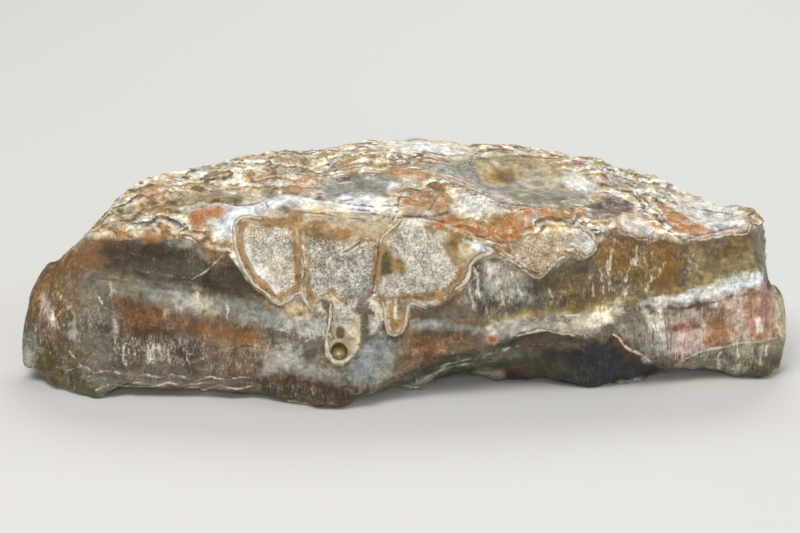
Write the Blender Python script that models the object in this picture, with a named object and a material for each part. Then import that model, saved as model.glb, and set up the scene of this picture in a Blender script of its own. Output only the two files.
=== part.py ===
"""A waterline agate: one rough, broken piece of banded stone that lies on its own flat underside.

The stone is lofted. Eleven rails run along its length, from its left end to its right end, and each
cross-section joins them in a ring: foot, lower edge, waterline, shoulder, crest, top and horizon,
then back shoulder, back middle, back foot and underside. The rails of the near side follow an 800 by
533 picture, so they are kept as picture columns and rows with a depth or a height in millimetres, and
a pinhole view turns them into real places. Relief is then added along the normals: ledges of rind on
the top, hollow chambers and tubes on the face, scallops of broken stone and lumps on the back.
"""

import math

import bmesh
import bpy
import numpy as np
from mathutils import Vector, noise

# Driving dimensions, in metres
STONE_LENGTH = 0.154
END_DEPTH = 0.019  # how far its ends lie behind its nearest foot
MM = 0.001

# The view that the rails were read in, in pixels of the picture
MIDDLE_COLUMN = 400.0
MIDDLE_ROW = 266.5
STONE_COLUMNS = 764.0  # how many columns the stone's length takes
FOCAL_PIXELS = 2222.0  # a 100 mm lens on a 36 mm wide picture
NEAREST_ROW = 407.0  # the row of the foot that lies nearest, at depth 0 and height 0
VIEW_TILT = math.radians(18)  # how far the view looks down
VIEW_DISTANCE = STONE_LENGTH / STONE_COLUMNS * FOCAL_PIXELS - END_DEPTH

# The ends of the stone, and the columns of the cross-sections near them, which lie closer together
LEFT_END = (22, 23, 25, 28.5, 33, 39, 46, 54)
RIGHT_END = (750, 754, 757.5, 761, 764, 766.5, 768.5, 772, 777, 781, 784, 786)
BODY_FIRST, BODY_LAST, BODY_SECTIONS = 63.0, 745.0, 66

# Rails of the near side: (column, row, depth in mm). Depth 0 is the nearest foot.
LOWER_EDGE = (
    (22, 358, 14), (40, 366, 12), (66, 376, 8.5), (84, 378, 6.5), (102, 373, 5.5), (115, 372, 5.5),
    (133, 377, 6), (153, 377, 6), (179, 374, 6), (204, 375.5, 5.5), (230, 382, 4.5), (247, 384, 3.5),
    (265, 378, 3), (293, 377.6, 0.5), (319, 380.6, -1.5), (344, 387, -2), (365, 389.5, -1),
    (383, 384, 0.5), (400, 377, 1.5), (425, 367, 2.5), (451, 359, 3.5), (476, 351, 4.5),
    (502, 343.6, 5.5), (528, 333, 6), (543, 331, 6), (563, 335, 6.5), (579, 337, 7), (607, 341, 8),
    (616, 333, 8.5), (624, 342, 9), (647, 355, 10), (660, 361, 11), (679, 361, 12), (706, 352.6, 12.5),
    (732, 345, 13), (757, 341, 14), (783, 337, 18), (786, 331, 20),
)
WATERLINE = (
    (22, 354, 14.5), (40, 330, 15), (66, 300, 14.5), (97, 280, 13.5), (135, 283, 12.5),
    (184, 288, 11.5), (235, 298, 10), (270, 308, 8.5), (300, 318, 7), (344, 325, 6), (383, 325, 6),
    (425, 322, 6.5), (451, 320, 7), (502, 315, 8.5), (540, 318, 9), (580, 312, 10.5), (616, 300, 11.5),
    (647, 295, 12.5), (680, 292, 13), (720, 285, 14), (757, 280, 15.5), (766, 288, 16), (775, 300, 18),
    (786, 326, 20.5),
)
SHOULDER = (
    (22, 350, 15.5), (40, 305, 18), (66, 265, 19), (88, 240, 19), (115, 236, 17.5), (143, 239, 16),
    (166, 239, 15.5), (194, 245, 14), (222, 245, 13), (255, 240, 12), (306, 240, 11), (344, 245, 10.5),
    (383, 248, 10), (425, 250, 10.5), (451, 250, 11), (484, 253, 11.5), (510, 262, 11.5),
    (539, 270, 12), (573, 258, 13), (596, 248, 14), (619, 238, 15), (642, 240, 16), (668, 242, 17),
    (700, 243, 17.5), (728, 240, 18), (750, 236, 19), (760, 252, 19.5), (766, 281, 19), (775, 290, 20),
    (786, 322, 21),
)
CREST = (
    (22, 347, 16.5), (40, 292, 20), (66, 258, 23), (88, 237, 24), (115, 222, 23.5), (150, 214, 23),
    (200, 208, 20), (240, 204, 18), (280, 204, 17), (320, 207, 16.5), (360, 211, 16), (400, 213, 16),
    (440, 213, 16.5), (480, 215, 17.5), (520, 217, 18), (560, 217, 19), (600, 220, 20), (640, 228, 21),
    (680, 233, 22), (720, 230, 23), (748, 224, 24), (757, 234, 24.5), (761, 249, 24), (766, 279, 22),
    (769, 286, 22.5), (775, 287.5, 22.5), (786, 320, 21.5),
)
TOP = (
    (22, 346, 17.5), (40, 287, 21.5), (66, 256, 25.5), (88, 238, 27), (110, 219, 27.5),
    (139, 193, 28.5), (181, 185, 30), (224, 180, 31), (261, 175, 32), (314, 173, 34), (370, 170, 35),
    (415, 170, 35), (471, 173, 35), (522, 176, 35), (579, 180, 35), (609, 188, 34), (658, 195, 33),
    (688, 209, 31), (721, 216, 29), (750, 219, 27.5), (757, 229, 27), (761, 245, 26.5), (766, 276, 24.5),
    (769, 285, 24.5), (775, 286, 24), (786, 319, 22),
)
HORIZON = (
    (22, 345, 18), (23, 330, 19), (27, 312, 20), (32, 296, 21), (38, 285, 22.5), (47, 276, 24),
    (54, 266, 25.5), (64, 256, 27), (74, 247, 28), (86, 240, 29), (98, 226, 30), (110, 217, 31),
    (122, 200, 32), (139, 183, 33), (153, 178, 35), (181, 175, 38), (201, 171, 40), (224, 167, 42),
    (237, 162, 43), (261, 158, 45), (288, 154, 47), (314, 153, 49), (347, 147, 51), (370, 142, 52),
    (400, 143, 52), (415, 141, 52), (448, 145, 52), (471, 149, 51), (510, 148, 51), (522, 152, 51),
    (548, 154, 51), (579, 159, 50), (594, 159, 49), (604, 166, 47), (609, 172, 46), (640, 178, 45),
    (658, 178, 44), (675, 190, 41), (688, 198, 39), (704, 200, 37), (721, 210, 35), (739, 212, 33),
    (752, 218, 31), (757, 227, 30), (761, 243, 29), (765, 258, 28), (767, 276, 27), (769, 284, 27),
    (774, 285, 26), (780, 291, 25), (785, 304, 24), (786, 318, 22.5),
)
# The rail of the near foot: (column, row, height in mm above the ground)
FOOT = (
    (22, 362, 4), (24, 369, 3), (38, 374, 2), (54, 384, 1.2), (66, 389, 0.6), (82, 394, 0.2),
    (97, 399, 0), (105, 397, 0.2), (115, 392, 1.3), (135, 389.5, 1.7), (158, 389.5, 1.7), (184, 388, 1.8),
    (204, 391, 1.4), (235, 394.6, 1), (255, 391, 1.4), (268, 394.6, 1), (281, 402, 0.3),
    (296, 406, 0), (321, 407.4, 0), (344, 408, 0), (352, 402, 0.8), (367, 397, 1.0), (383, 389.5, 1.4),
    (400, 384, 1.4), (420, 388, 0.4), (434, 386, 0.4), (441, 379, 1.2), (464, 378, 1), (502, 379, 0.8),
    (528, 378, 0.8), (553, 380.6, 0.5), (579, 385, 0.2), (609, 387.5, 0), (630, 385, 0.2),
    (650, 379, 0.5), (670, 369, 2), (681, 366.6, 2.5), (706, 368, 2), (726, 374, 0.8),
    (742, 377.6, 0.2), (757, 379, 0.2), (767, 378, 0.4), (778, 368, 1.6), (783, 355, 4),
    (785, 342, 6.5), (786, 335, 8),
)

# Rails of the far side, by what they add to the horizon's depth and which share of its height they keep
BACK_SHOULDER = (7.0, 0.89)
BACK_MIDDLE = (11.0, 0.45)
BACK_FOOT_REACH = 3.0
BACK_FOOT_SHARE = 0.6  # how much of the near foot's height the back foot keeps
BACK_FOOT_LIFT = 1.0  # mm that it lies higher than that
TAPER_LEAST = 0.25  # what is left of the far side's offsets at both ends
TAPER_COLUMNS = 130.0  # columns over which they grow to their full size
BASE_DROP = 1.3  # mm that the underside dips below the ground before it is cut flat there
CALM_END = 8.0  # mm over which the relief dies away at both tips
CALM_RAILS = ((0, 2.0), (6, 2.5))  # rails along which it is calmer, and for how many steps beside them
CALM_SHARE = 0.7  # the share of the relief that is taken off there
# How many faces a cross-section has between each rail and the next, from the near foot round
RING_STEPS = (4, 9, 6, 4, 6, 6, 3, 4, 4, 4, 4)
SHOULDER_PLACE = 4  # the rail where the face ends and the top starts
HORIZON_PLACE = 6  # the rail where the top ends and the back starts
BACK_FOOT_PLACE = 9  # the rail where the back ends and the underside starts
ROUNDING = 0.4  # 0 joins a cross-section's rails by straight lines, 1 by a full curve

# Hollow chambers and tubes on the face: (column, row, half width, half height, depth in mm)
CHAMBERS = (
    (272, 258, 26, 36, 0.9), (336, 258, 30, 36, 0.9), (425, 262, 34, 28, 0.8), (341, 346, 12, 13, 1.1),
    (397, 312, 11, 20, 0.7), (540, 248, 34, 20, 0.7),
)
CHAMBER_RIM = 0.5  # mm that a chamber's rim stands proud
CHAMBER_EDGE = 0.85  # where its wall drops, as a share of its half width
CHAMBER_STEEP = 14.0  # how steeply it drops there
RIM_MIDDLE = 1.08  # where its rim lies, as a share of its half width
RIM_WIDTH = 0.14  # how wide that is, as the same share
CHAMBER_WANDER = (0.12, 6)  # how far its edge strays, as that share, and over how many mm
SCAR_WANDER = (0.18, 9)  # the same for a scar
SCAR_FULLNESS = 0.7  # lower values make a scar's floor flatter and its edge steeper

# Ledges of rind
LEDGE_LEVELS = 3.0  # how many levels the slow swell climbs
LEDGE_SIZE = 17  # mm
LEDGE_STEP = 0.75  # mm
RISER_SHARE = 0.25  # how much of a ledge is riser
LEDGE_STRETCH = (0.45, 1.0, 1.6)  # below 1 makes ledges long in that direction, above 1 short

# Folds of rind
FOLD_HEIGHT = 0.8  # mm
FOLD_SIZE = 8  # mm
FOLD_STRETCH = 0.55
FOLD_SHARPNESS = 2.2

# Rough relief, knobs and pits, each with its height or depth and the size of its lumps, in mm
TOP_ROUGH = (0.45, 5)
TOP_PITS = (1.1, 9)
FACE_ROUGH = (0.45, 11)
BACK_SWELL = (1.9, 22)
BACK_ROUGH = (0.9, 7)
BACK_KNOBS = (1.3, 11)
BACK_PITS = (1.2, 12)
UNDER_ROUGH = (0.5, 9)
KNOB_REACH = 0.7  # how wide knobs are, as a share of the gap between their middles
PIT_REACH = 0.45  # the same for pits

# Scars where flakes broke off the face, and smooth dishes in the rind on the top, given the same way
FACE_SCARS = (
    (45, 325, 24, 42, 0.9), (140, 264, 56, 22, 1.0), (213, 262, 22, 15, 1.0), (118, 348, 56, 30, 0.8),
    (215, 350, 50, 34, 0.7), (312, 396, 58, 16, 1.2), (386, 362, 34, 28, 0.8), (250, 314, 44, 20, 0.5),
    (450, 344, 42, 14, 0.8), (565, 292, 44, 20, 0.7), (642, 264, 50, 28, 1.0), (716, 260, 42, 24, 1.0),
    (712, 330, 46, 32, 1.1), (470, 367, 54, 14, 1.8), (560, 360, 48, 20, 2.0), (634, 372, 36, 16, 1.5),
)
TOP_SCARS = (
    (520, 183, 46, 14, 1.9), (360, 188, 44, 9, 1.3), (430, 204, 42, 8, 0.9), (244, 190, 38, 9, 1.2),
    (622, 206, 34, 8, 1.1), (165, 205, 28, 12, 1.0), (704, 222, 32, 8, 0.8), (300, 170, 36, 7, 1.1),
)

COLOUR = (0.53, 0.46, 0.36, 1.0)
ROUGHNESS = 0.35


def view_axes():
    """The view's directions: forward, and up in the picture."""
    forward = np.array((0.0, math.cos(VIEW_TILT), -math.sin(VIEW_TILT)))
    up = np.array((0.0, math.sin(VIEW_TILT), math.cos(VIEW_TILT)))
    return forward, up


def eye():
    """Where the view is taken from: the nearest foot is seen at NEAREST_ROW."""
    forward, up = view_axes()
    return -VIEW_DISTANCE * (forward + up * (MIDDLE_ROW - NEAREST_ROW) / FOCAL_PIXELS)


def place_at(column, row, value, axis):
    """The place seen at a column and row where its depth (axis 1) or its height (axis 2) is value, in mm."""
    forward, up = view_axes()
    side = np.array((1.0, 0.0, 0.0))
    ray = (
        forward
        + side * (column - MIDDLE_COLUMN) / FOCAL_PIXELS
        + up * (MIDDLE_ROW - row) / FOCAL_PIXELS
    )
    start = eye()
    return start + ray * (value * MM - start[axis]) / ray[axis]


def seen_at(place):
    """The column and row that a place is seen at."""
    forward, up = view_axes()
    offset = np.array(place) - eye()
    away = offset @ forward
    return (
        MIDDLE_COLUMN + FOCAL_PIXELS * offset[0] / away,
        MIDDLE_ROW - FOCAL_PIXELS * (offset @ up) / away,
    )


def smooth_through(points, at):
    """Values at the columns in at, on a smooth curve through the points that never overshoots them."""
    x = np.array([p[0] for p in points], float)
    y = np.array([p[1] for p in points], float)
    gap = np.diff(x)
    rise = np.diff(y) / gap
    slope = np.zeros(len(x))
    same_way = rise[:-1] * rise[1:] > 0
    slope[1:-1][same_way] = 2 * rise[:-1][same_way] * rise[1:][same_way] / (rise[:-1] + rise[1:])[same_way]
    slope[0], slope[-1] = rise[0], rise[-1]
    i = np.clip(np.searchsorted(x, at) - 1, 0, len(gap) - 1)
    t = (at - x[i]) / gap[i]
    return (
        y[i] * (1 + 2 * t) * (1 - t) ** 2
        + slope[i] * gap[i] * t * (1 - t) ** 2
        + y[i + 1] * t**2 * (3 - 2 * t)
        + slope[i + 1] * gap[i] * t**2 * (t - 1)
    )


def section_columns():
    body = np.linspace(BODY_FIRST, BODY_LAST, BODY_SECTIONS)
    return np.concatenate([LEFT_END, body, RIGHT_END])


def near_rail(points, columns, axis=1):
    rows = smooth_through([p[:2] for p in points], columns)
    values = smooth_through([(p[0], p[2]) for p in points], columns)
    return np.array([place_at(*seen, axis) for seen in zip(columns, rows, values)])


def end_taper(columns):
    """1 along the body, falling to TAPER_LEAST at both ends, for the offsets of the far side."""
    from_end = np.minimum(columns - columns[0], columns[-1] - columns)
    return TAPER_LEAST + (1 - TAPER_LEAST) * np.sqrt(np.clip(from_end / TAPER_COLUMNS, 0, 1))


def far_rails(horizon, foot, taper):
    """Back shoulder, back middle, back foot and underside, hung from the horizon and the near foot."""
    rails = []
    for reach, kept in (BACK_SHOULDER, BACK_MIDDLE):
        rail = horizon.copy()
        rail[:, 1] += reach * MM * taper
        rail[:, 2] = foot[:, 2] + (horizon[:, 2] - foot[:, 2]) * kept
        rails.append(rail)
    back_foot = horizon.copy()
    back_foot[:, 1] += BACK_FOOT_REACH * MM * taper
    back_foot[:, 2] = foot[:, 2] * BACK_FOOT_SHARE + BACK_FOOT_LIFT * MM
    base = (foot + back_foot) / 2
    base[:, 2] -= BASE_DROP * MM * taper
    return [*rails, back_foot, base]


def ring_points(corners):
    """One closed cross-section through the rails' points, partly straight and partly rounded."""
    count = len(corners)
    ring = []
    for i, steps in enumerate(RING_STEPS):
        before, start, end, after = (corners[(i + k) % count] for k in (-1, 0, 1, 2))
        for step in range(steps):
            t = step / steps
            straight = start + (end - start) * t
            rounded = 0.5 * (
                2 * start
                + (end - before) * t
                + (2 * before - 5 * start + 4 * end - after) * t**2
                + (3 * start - before - 3 * end + after) * t**3
            )
            ring.append(straight * (1 - ROUNDING) + rounded * ROUNDING)
    return ring


def ring_zone(step):
    """Where a ring's point lies: face, top, back or under."""
    starts = np.cumsum((0, *RING_STEPS))
    if step >= starts[BACK_FOOT_PLACE]:
        return "under"
    if step < starts[SHOULDER_PLACE]:
        return "face"
    return "top" if step <= starts[HORIZON_PLACE] else "back"


def ring_strength(step):
    """How much of the relief a ring's point gets: less at the near foot and at the horizon."""
    starts = np.cumsum((0, *RING_STEPS))
    strength = 1.0
    for rail, reach in CALM_RAILS:
        away = abs(step - starts[rail])
        away = min(away, starts[-1] - away)
        strength -= CALM_SHARE * math.exp(-((away / reach) ** 2))
    return strength


def loft():
    """The bare stone, and the zone and the strength of relief of each of its vertices."""
    columns = section_columns()
    foot = near_rail(FOOT, columns, axis=2)
    rails = [near_rail(points, columns) for points in (LOWER_EDGE, WATERLINE, SHOULDER, CREST, TOP, HORIZON)]
    rails = [foot, *rails, *far_rails(rails[-1], foot, end_taper(columns))]
    stone = bmesh.new()
    rings, zones = [], []
    for station in range(len(columns)):
        ring = ring_points([rail[station] for rail in rails])
        rings.append([stone.verts.new(p) for p in ring])
        zones += [(ring_zone(step), ring_strength(step)) for step in range(len(ring))]
    for left, right in zip(rings, rings[1:]):
        for step in range(len(left)):
            after = (step + 1) % len(left)
            stone.faces.new((left[step], right[step], right[after], left[after]))
    for ring, outwards in ((rings[0], False), (rings[-1], True)):
        middle = stone.verts.new(sum((v.co for v in ring), Vector()) / len(ring))
        zones.append(("face", 0.0))
        for step, vertex in enumerate(ring):
            after = ring[(step + 1) % len(ring)]
            stone.faces.new((vertex, after, middle) if outwards else (after, vertex, middle))
    bmesh.ops.recalc_face_normals(stone, faces=stone.faces)
    stone.normal_update()
    return stone, zones


def fractal(place, size, octaves=3):
    """Rough noise, from about -1 to 1, whose largest lumps are size mm wide."""
    return noise.fractal(place / (size * MM), 1.0, 2.0, octaves)


def ledges(place):
    """Stacked ledges of rind: a slow swell that is cut into level treads with steep risers."""
    stretched = Vector(c * stretch for c, stretch in zip(place, LEDGE_STRETCH))
    level = LEDGE_LEVELS * fractal(stretched, LEDGE_SIZE, 2)
    tread = math.floor(level)
    riser = min(1.0, (level - tread) / RISER_SHARE)
    return LEDGE_STEP * (tread + riser * riser * (3 - 2 * riser))


def folds(place):
    """Crumpled folds of rind: sharp crests with round valleys, longer than they are wide."""
    stretched = Vector((place.x * FOLD_STRETCH, place.y, place.z))
    return FOLD_HEIGHT * (1 - abs(FOLD_SHARPNESS * fractal(stretched, FOLD_SIZE, 2))) ** 2


def rough(place, height, size, octaves=3):
    """Plain rough relief."""
    return height * fractal(place, size, octaves)


def knobs(place, height, size):
    """Rounded knobs, packed side by side."""
    nearest = noise.voronoi(place / (size * MM))[0][0]
    return height * (1 - min(1.0, nearest / KNOB_REACH) ** 2)


def scars(place, list_of_scars):
    """Shallow scoops with a crisp edge, in mm below the surface."""
    column, row = seen_at(place)
    wander, size = SCAR_WANDER
    depth = 0.0
    for middle, level, wide, high, deep in list_of_scars:
        out = math.hypot((column - middle) / wide, (row - level) / high)
        out += wander * fractal(place, size, 2)
        depth = max(depth, deep * max(0.0, 1 - out * out) ** SCAR_FULLNESS)
    return depth


def pits(place, depth, size):
    """Scattered pits: 0 on the flat, and the depth in their middles."""
    nearest = noise.voronoi(place / (size * MM))[0][0]
    return depth * max(0.0, 1 - nearest / PIT_REACH) ** 2


def chambers(place):
    """Hollows with a proud rim, where the face breaks through tubes and pockets."""
    column, row = seen_at(place)
    wander, size = CHAMBER_WANDER
    height = 0.0
    for middle, level, wide, high, deep in CHAMBERS:
        out = math.hypot((column - middle) / wide, (row - level) / high)
        out += wander * fractal(place, size, 2)
        hollow = 1 / (1 + math.exp((out - CHAMBER_EDGE) * CHAMBER_STEEP))
        rim = math.exp(-(((out - RIM_MIDDLE) / RIM_WIDTH) ** 2))
        height += CHAMBER_RIM * rim - deep * hollow
    return height


def relief(place, zone):
    """How far a point of the stone stands out along its normal, in mm."""
    if zone == "top":
        crumpled = ledges(place) + folds(place) + rough(place, *TOP_ROUGH)
        return crumpled - pits(place, *TOP_PITS) - scars(place, TOP_SCARS)
    if zone == "face":
        return rough(place, *FACE_ROUGH) + chambers(place) - scars(place, FACE_SCARS)
    if zone == "back":
        lumps = rough(place, *BACK_SWELL, 2) + rough(place, *BACK_ROUGH) + knobs(place, *BACK_KNOBS)
        return lumps - pits(place, *BACK_PITS)
    return rough(place, *UNDER_ROUGH)


def roughen(stone, zones):
    """Moves each vertex along its normal by the relief, and cuts the underside flat on the ground."""
    across = [v.co.x for v in stone.verts]
    low, high = min(across), max(across)
    for vertex, (zone, strength) in zip(stone.verts, zones):
        from_end = min(vertex.co.x - low, high - vertex.co.x) / (CALM_END * MM)
        height = relief(vertex.co, zone) * strength * min(1.0, from_end) * MM
        vertex.co += vertex.normal * height
        vertex.co.z = max(vertex.co.z, 0.0)


def centre_on_base(stone):
    """Puts the origin at the middle of the stone's box, at its bottom."""
    places = np.array([v.co for v in stone.verts])
    low, high = places.min(0), places.max(0)
    middle = (low + high) / 2
    bmesh.ops.translate(stone, verts=stone.verts, vec=(-middle[0], -middle[1], -low[2]))


def stone_material():
    material = bpy.data.materials.new("banded_stone")
    material.use_nodes = True
    shader = material.node_tree.nodes["Principled BSDF"]
    shader.inputs["Base Color"].default_value = COLOUR
    shader.inputs["Roughness"].default_value = ROUGHNESS
    shader.inputs["Metallic"].default_value = 0.0
    return material


def make_agate():
    stone, zones = loft()
    roughen(stone, zones)
    centre_on_base(stone)
    bmesh.ops.triangulate(stone, faces=stone.faces)
    mesh = bpy.data.meshes.new("agate")
    stone.to_mesh(mesh)
    stone.free()
    mesh.materials.append(stone_material())
    mesh.shade_smooth()
    agate = bpy.data.objects.new("agate", mesh)
    bpy.context.scene.collection.objects.link(agate)
    return agate


def main():
    for thing in list(bpy.data.objects):
        bpy.data.objects.remove(thing)
    make_agate()


main()
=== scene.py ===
"""The finished look of a rough waterline agate, on a plain pale floor.

The stone is one piece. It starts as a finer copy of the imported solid, and gets small relief and
markings: patches and strokes that are laid down one over the other, in columns and rows of the 800 by
533 picture, on the side that faces the camera. The hidden sides get rind and level bands by their
place in the stone. All of that is kept as attributes on the mesh, and the material adds the grain,
fibres, fine layers and crisp rims from procedural textures.
"""

import math

import bmesh
import bpy
import numpy as np
from mathutils import Matrix, Vector, noise
from mathutils.kdtree import KDTree


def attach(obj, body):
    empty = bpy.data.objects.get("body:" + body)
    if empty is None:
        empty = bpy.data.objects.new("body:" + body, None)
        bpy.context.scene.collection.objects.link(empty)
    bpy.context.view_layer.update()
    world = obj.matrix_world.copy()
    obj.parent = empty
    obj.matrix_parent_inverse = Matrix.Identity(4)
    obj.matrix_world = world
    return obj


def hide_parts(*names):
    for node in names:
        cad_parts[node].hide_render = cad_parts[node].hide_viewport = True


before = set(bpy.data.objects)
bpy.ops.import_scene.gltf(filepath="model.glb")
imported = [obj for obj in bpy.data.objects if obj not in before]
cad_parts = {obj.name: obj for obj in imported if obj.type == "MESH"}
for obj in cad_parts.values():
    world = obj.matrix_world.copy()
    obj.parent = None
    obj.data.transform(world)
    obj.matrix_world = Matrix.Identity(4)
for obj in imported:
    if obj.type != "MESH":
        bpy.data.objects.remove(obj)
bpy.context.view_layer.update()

MM = 0.001

# The camera, which is also the view that the markings are laid down in
EYE = (-0.00106, -0.43098, 0.15833)
LOOK_DOWN = math.radians(18)
MIDDLE = (400.0, 266.5)  # column and row of the picture's middle
FOCAL_PIXELS = 2222.0
LENS = 100.0  # mm
SENSOR = 36.0  # mm
NEAREST_SEEN = 0.01  # metres from the camera
PIXEL = 0.194 * MM  # how wide a pixel is at the stone

# The studio
FLOOR_REACH = 3.0  # metres from its middle to its edges
FLOOR_DROP = 0.1 * MM  # how far it lies below the stone
FLOOR_COLOUR = (0.72, 0.71, 0.69, 1.0)
FLOOR_ROUGHNESS = 0.8
WHITE = (1.0, 1.0, 1.0)
SKY_STRENGTH = 0.22
LIGHTS_AIM = (0.0, 0.0, 0.02)
# (name, place and size in metres, power in watts, colour)
LIGHTS = (
    ("key", (-0.25, -0.35, 0.75), (0.5, 0.4), 4.2, (1.0, 0.98, 0.95)),
    ("front", (0.1, -0.9, 0.3), (0.7, 0.35), 2.6, WHITE),
    ("right", (0.8, -0.1, 0.4), (0.4, 0.4), 1.6, (0.95, 0.98, 1.0)),
    ("back", (0.1, 0.6, 0.6), (0.6, 0.3), 3.0, WHITE),
)

# The mesh
MERGE_GAP = 1e-6  # metres within which vertices are one
JOINED_FACES = 0.7  # radians up to which two triangles become one face
JOINED_SHAPES = 0.9  # radians up to which that face may differ from a rectangle
CORNER_ROUNDING = 0.5
SPLIT_FACING = (-0.1, 0.1)  # how much a face faces the camera to be split, at the first and second level
SPLIT_WINDOW = ((228, 204), (480, 366))  # two corners of the second level's box, in pixels

# Rough fields over the stone: (width of their largest lumps in mm, octaves, stretch, shift)
ROUND = (1, 1, 1)
FRACTAL = (1.0, 2.0)  # how fast the octaves weaken, and how much finer each is
FIELDS = {
    "wander of columns": (3.5, 3, ROUND, 11.3),
    "wander of rows": (3.5, 3, ROUND, 47.1),
    "shake of columns": (2.5, 2, ROUND, 3.3),
    "shake of rows": (2.5, 2, ROUND, 7.1),
    "ragged": (2.6, 3, ROUND, 15.0),
    "finely ragged": (1.1, 2, ROUND, 19.0),
    "fold swell": (11, 3, (2.2, 1, 1), 0.0),
    "fold crumple": (3, 2, ROUND, 5.0),
    "cloudy": (14, 3, ROUND, 21.0),
    "patchy": (7, 3, ROUND, 33.0),
    "far rust": (9, 3, ROUND, 71.0),
    "far flecks": (8, 2, ROUND, 83.0),
    "warmth": (6, 4, ROUND, 55.0),
    "brightness": (3.2, 3, ROUND, 61.0),
    "rind lumps": (5, 4, (1.6, 1, 1), 0.0),
    "rind grain": (1.4, 3, ROUND, 9.0),
    "sugar grain": (1.2, 2, ROUND, 0.0),
    "band ripple": (3, 4, (1, 1, 1.8), 0.0),
}

# How the markings are laid down; lengths are in pixels
WANDER = 1.6  # how far the edges of patches wander
SHAKE = 0.7  # how far strokes wander
FINE_SHARE = 0.6  # how much the finely ragged field adds to the ragged one
RAGGED_SHARE = 1.5  # how ragged the edge of a patch is, against its softness
PATCH_REACH = 3  # how far outside a patch its ragged edge can go, against its softness
LEAST_EDGE = 0.5  # how gradual the edge of a patch is where its softness is 0
EDGE_SHARE = 0.5  # how much softness adds to that
LIFT = 2.6  # how far the two sets of patches lie above and below their place
LIFT_SOFTNESS = 4  # the softness from which a patch is lifted all the way
SIGHT_EDGE = 0.12  # how gradually the markings end where the stone turns away
STROKE_REACH = 14.0  # the farthest distance from a stroke that is told apart
RIND_EDGE = 2  # how gradual the edge of the rind's outline is
TUBE_EDGE = 3  # the same, for the tubes
SUGARY_EDGES = (-2, 2)  # how far inside a patch it starts and is full
CALM_EDGES = (-6, 1)
FLECKED_EDGES = (-4, 6)
FLECKED_RAGGED = 5
RUST_EDGES = (-2, 1)  # the same, against the patch's softness
EYE_EDGES = (1.5, 1.2)  # where the calm round the eyes starts and is full, against their size
TUBE_CALM = 0.9  # how far the tubes' outline smooths the layers of the rind

# The hidden sides, and the ground of the rind
FAR_RIND = (-0.27, -0.15)  # where the rind starts and is full, on the sum of what follows
FAR_RIND_CLIMB = 0.02  # per mm of height above the level
FAR_RIND_LEVEL = 16  # mm
FAR_RIND_RAGGED = 0.14
# Level bands where the rind is missing: (colour, height in mm from which it is seen)
FAR_BANDS = (("earth", 0), ("ash", 7), ("amber", 12), ("pearl", 17), ("smoke", 21), ("honey", 27))
FAR_BAND_EDGE = 0.8  # mm
FAR_BAND_WANDER = 1.5  # mm
FAR_RUST = (0.3, 0.7)  # where its field starts and is full
FAR_FLECKS = (-0.1, 0.3)
FAR_FLECKS_STRENGTH = 0.45
# Washes of colour: (colour, strength, field, where it starts, where it is full)
FAR_WASHES = (("drab", 1.0, "cloudy", -0.1, 0.35), ("pearl", 0.8, "patchy", 0.0, 0.4))
RIND_WASHES = (("cream", 1.0, "patchy", -0.15, 0.25), ("tan", 0.45, "cloudy", 0.05, 0.45))
BRIGHT_SWING = 0.26  # how much brightness swings over the stone
WARM_SWING = np.array((0.10, 0.01, -0.13))  # how much red, green and blue swing with the warmth

# The rind's layers climb over the stone towards its back and top, and crumple on the way
LAYER_PITCH = 2.4  # mm
LAYER_LEAN = 0.45  # how much they climb towards the back, against upwards
FOLD_SWELL = 2.2  # layers
FOLD_CRUMPLE = 0.5  # layers

# Relief, in mm
RIND_HEIGHT = 0.45  # how far the rind stands over the bands
RIND_LUMPS = 0.55
LAYER_STEP = 0.30
LAYER_RISER = 0.3  # the share of a layer over which it steps up
RIND_GRAIN = 0.22
SMOOTH_GRAIN = 0.35  # how much of that grain stays where the rind is smooth
SUGAR_GRAIN = 0.12
SUGAR_DEPTH = 0.1
BAND_RIPPLE = 0.16
FACETS = ((9, 0.14, 3), (4, 0.12, 8))  # (width in mm, steepness, seed)
FACETS_LOST = 0.35  # how much of them the near side loses
FACET_NEIGHBOURS = 5
FACET_SHARPNESS = 14
RIM_RIDGE = (0.16, 1.0, 1.6)  # (height in mm, how far inside the edge its top ends and its flank's width)
CRACK_GROOVE = (-0.28, 0.5, 1.2)
EYE_DEPTH = 1.0
EYE_WALL = (1.05, 0.6)  # where the eye's wall starts and ends, against its size
FLOOR_BAND = 0.15  # mm above the floor where there is no relief
TIP_LENGTH = 2.5  # mm over which the relief dies away at each tip

# Colours by name, as red, green and blue from 0 to 255
COLOURS = {
    "umber": (70, 57, 30),
    "smoke": (88, 74, 52),
    "olive": (92, 86, 52),
    "moss": (74, 71, 46),
    "amber": (120, 86, 50),
    "bark": (92, 62, 34),
    "rust": (198, 112, 26),
    "blood": (150, 74, 22),
    "honey": (128, 96, 18),
    "wax": (98, 88, 56),
    "straw": (148, 134, 82),
    "tan": (156, 128, 90),
    "cream": (202, 188, 160),
    "bone": (226, 220, 206),
    "chalk": (232, 232, 229),
    "pearl": (184, 180, 168),
    "mist": (148, 146, 137),
    "ash": (114, 108, 94),
    # painted shade: the dark grey laid over the recess below the right side, which lies in shadow
    "shade_grey": (42, 42, 44),
    "sky": (146, 149, 140),
    "rose": (204, 184, 172),
    "flesh": (118, 100, 84),
    "brick": (178, 136, 112),
    "clay": (150, 104, 84),
    "russet": (164, 124, 86),
    "wine": (88, 56, 50),
    "earth": (104, 90, 70),
    "drab": (110, 101, 82),
    "peach": (204, 178, 152),
    "copper": (172, 122, 58),
    "haze": (140, 134, 116),
    "tallow": (150, 138, 102),
    "ochre": (168, 134, 90),
    "sepia": (110, 90, 52),
}

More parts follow.
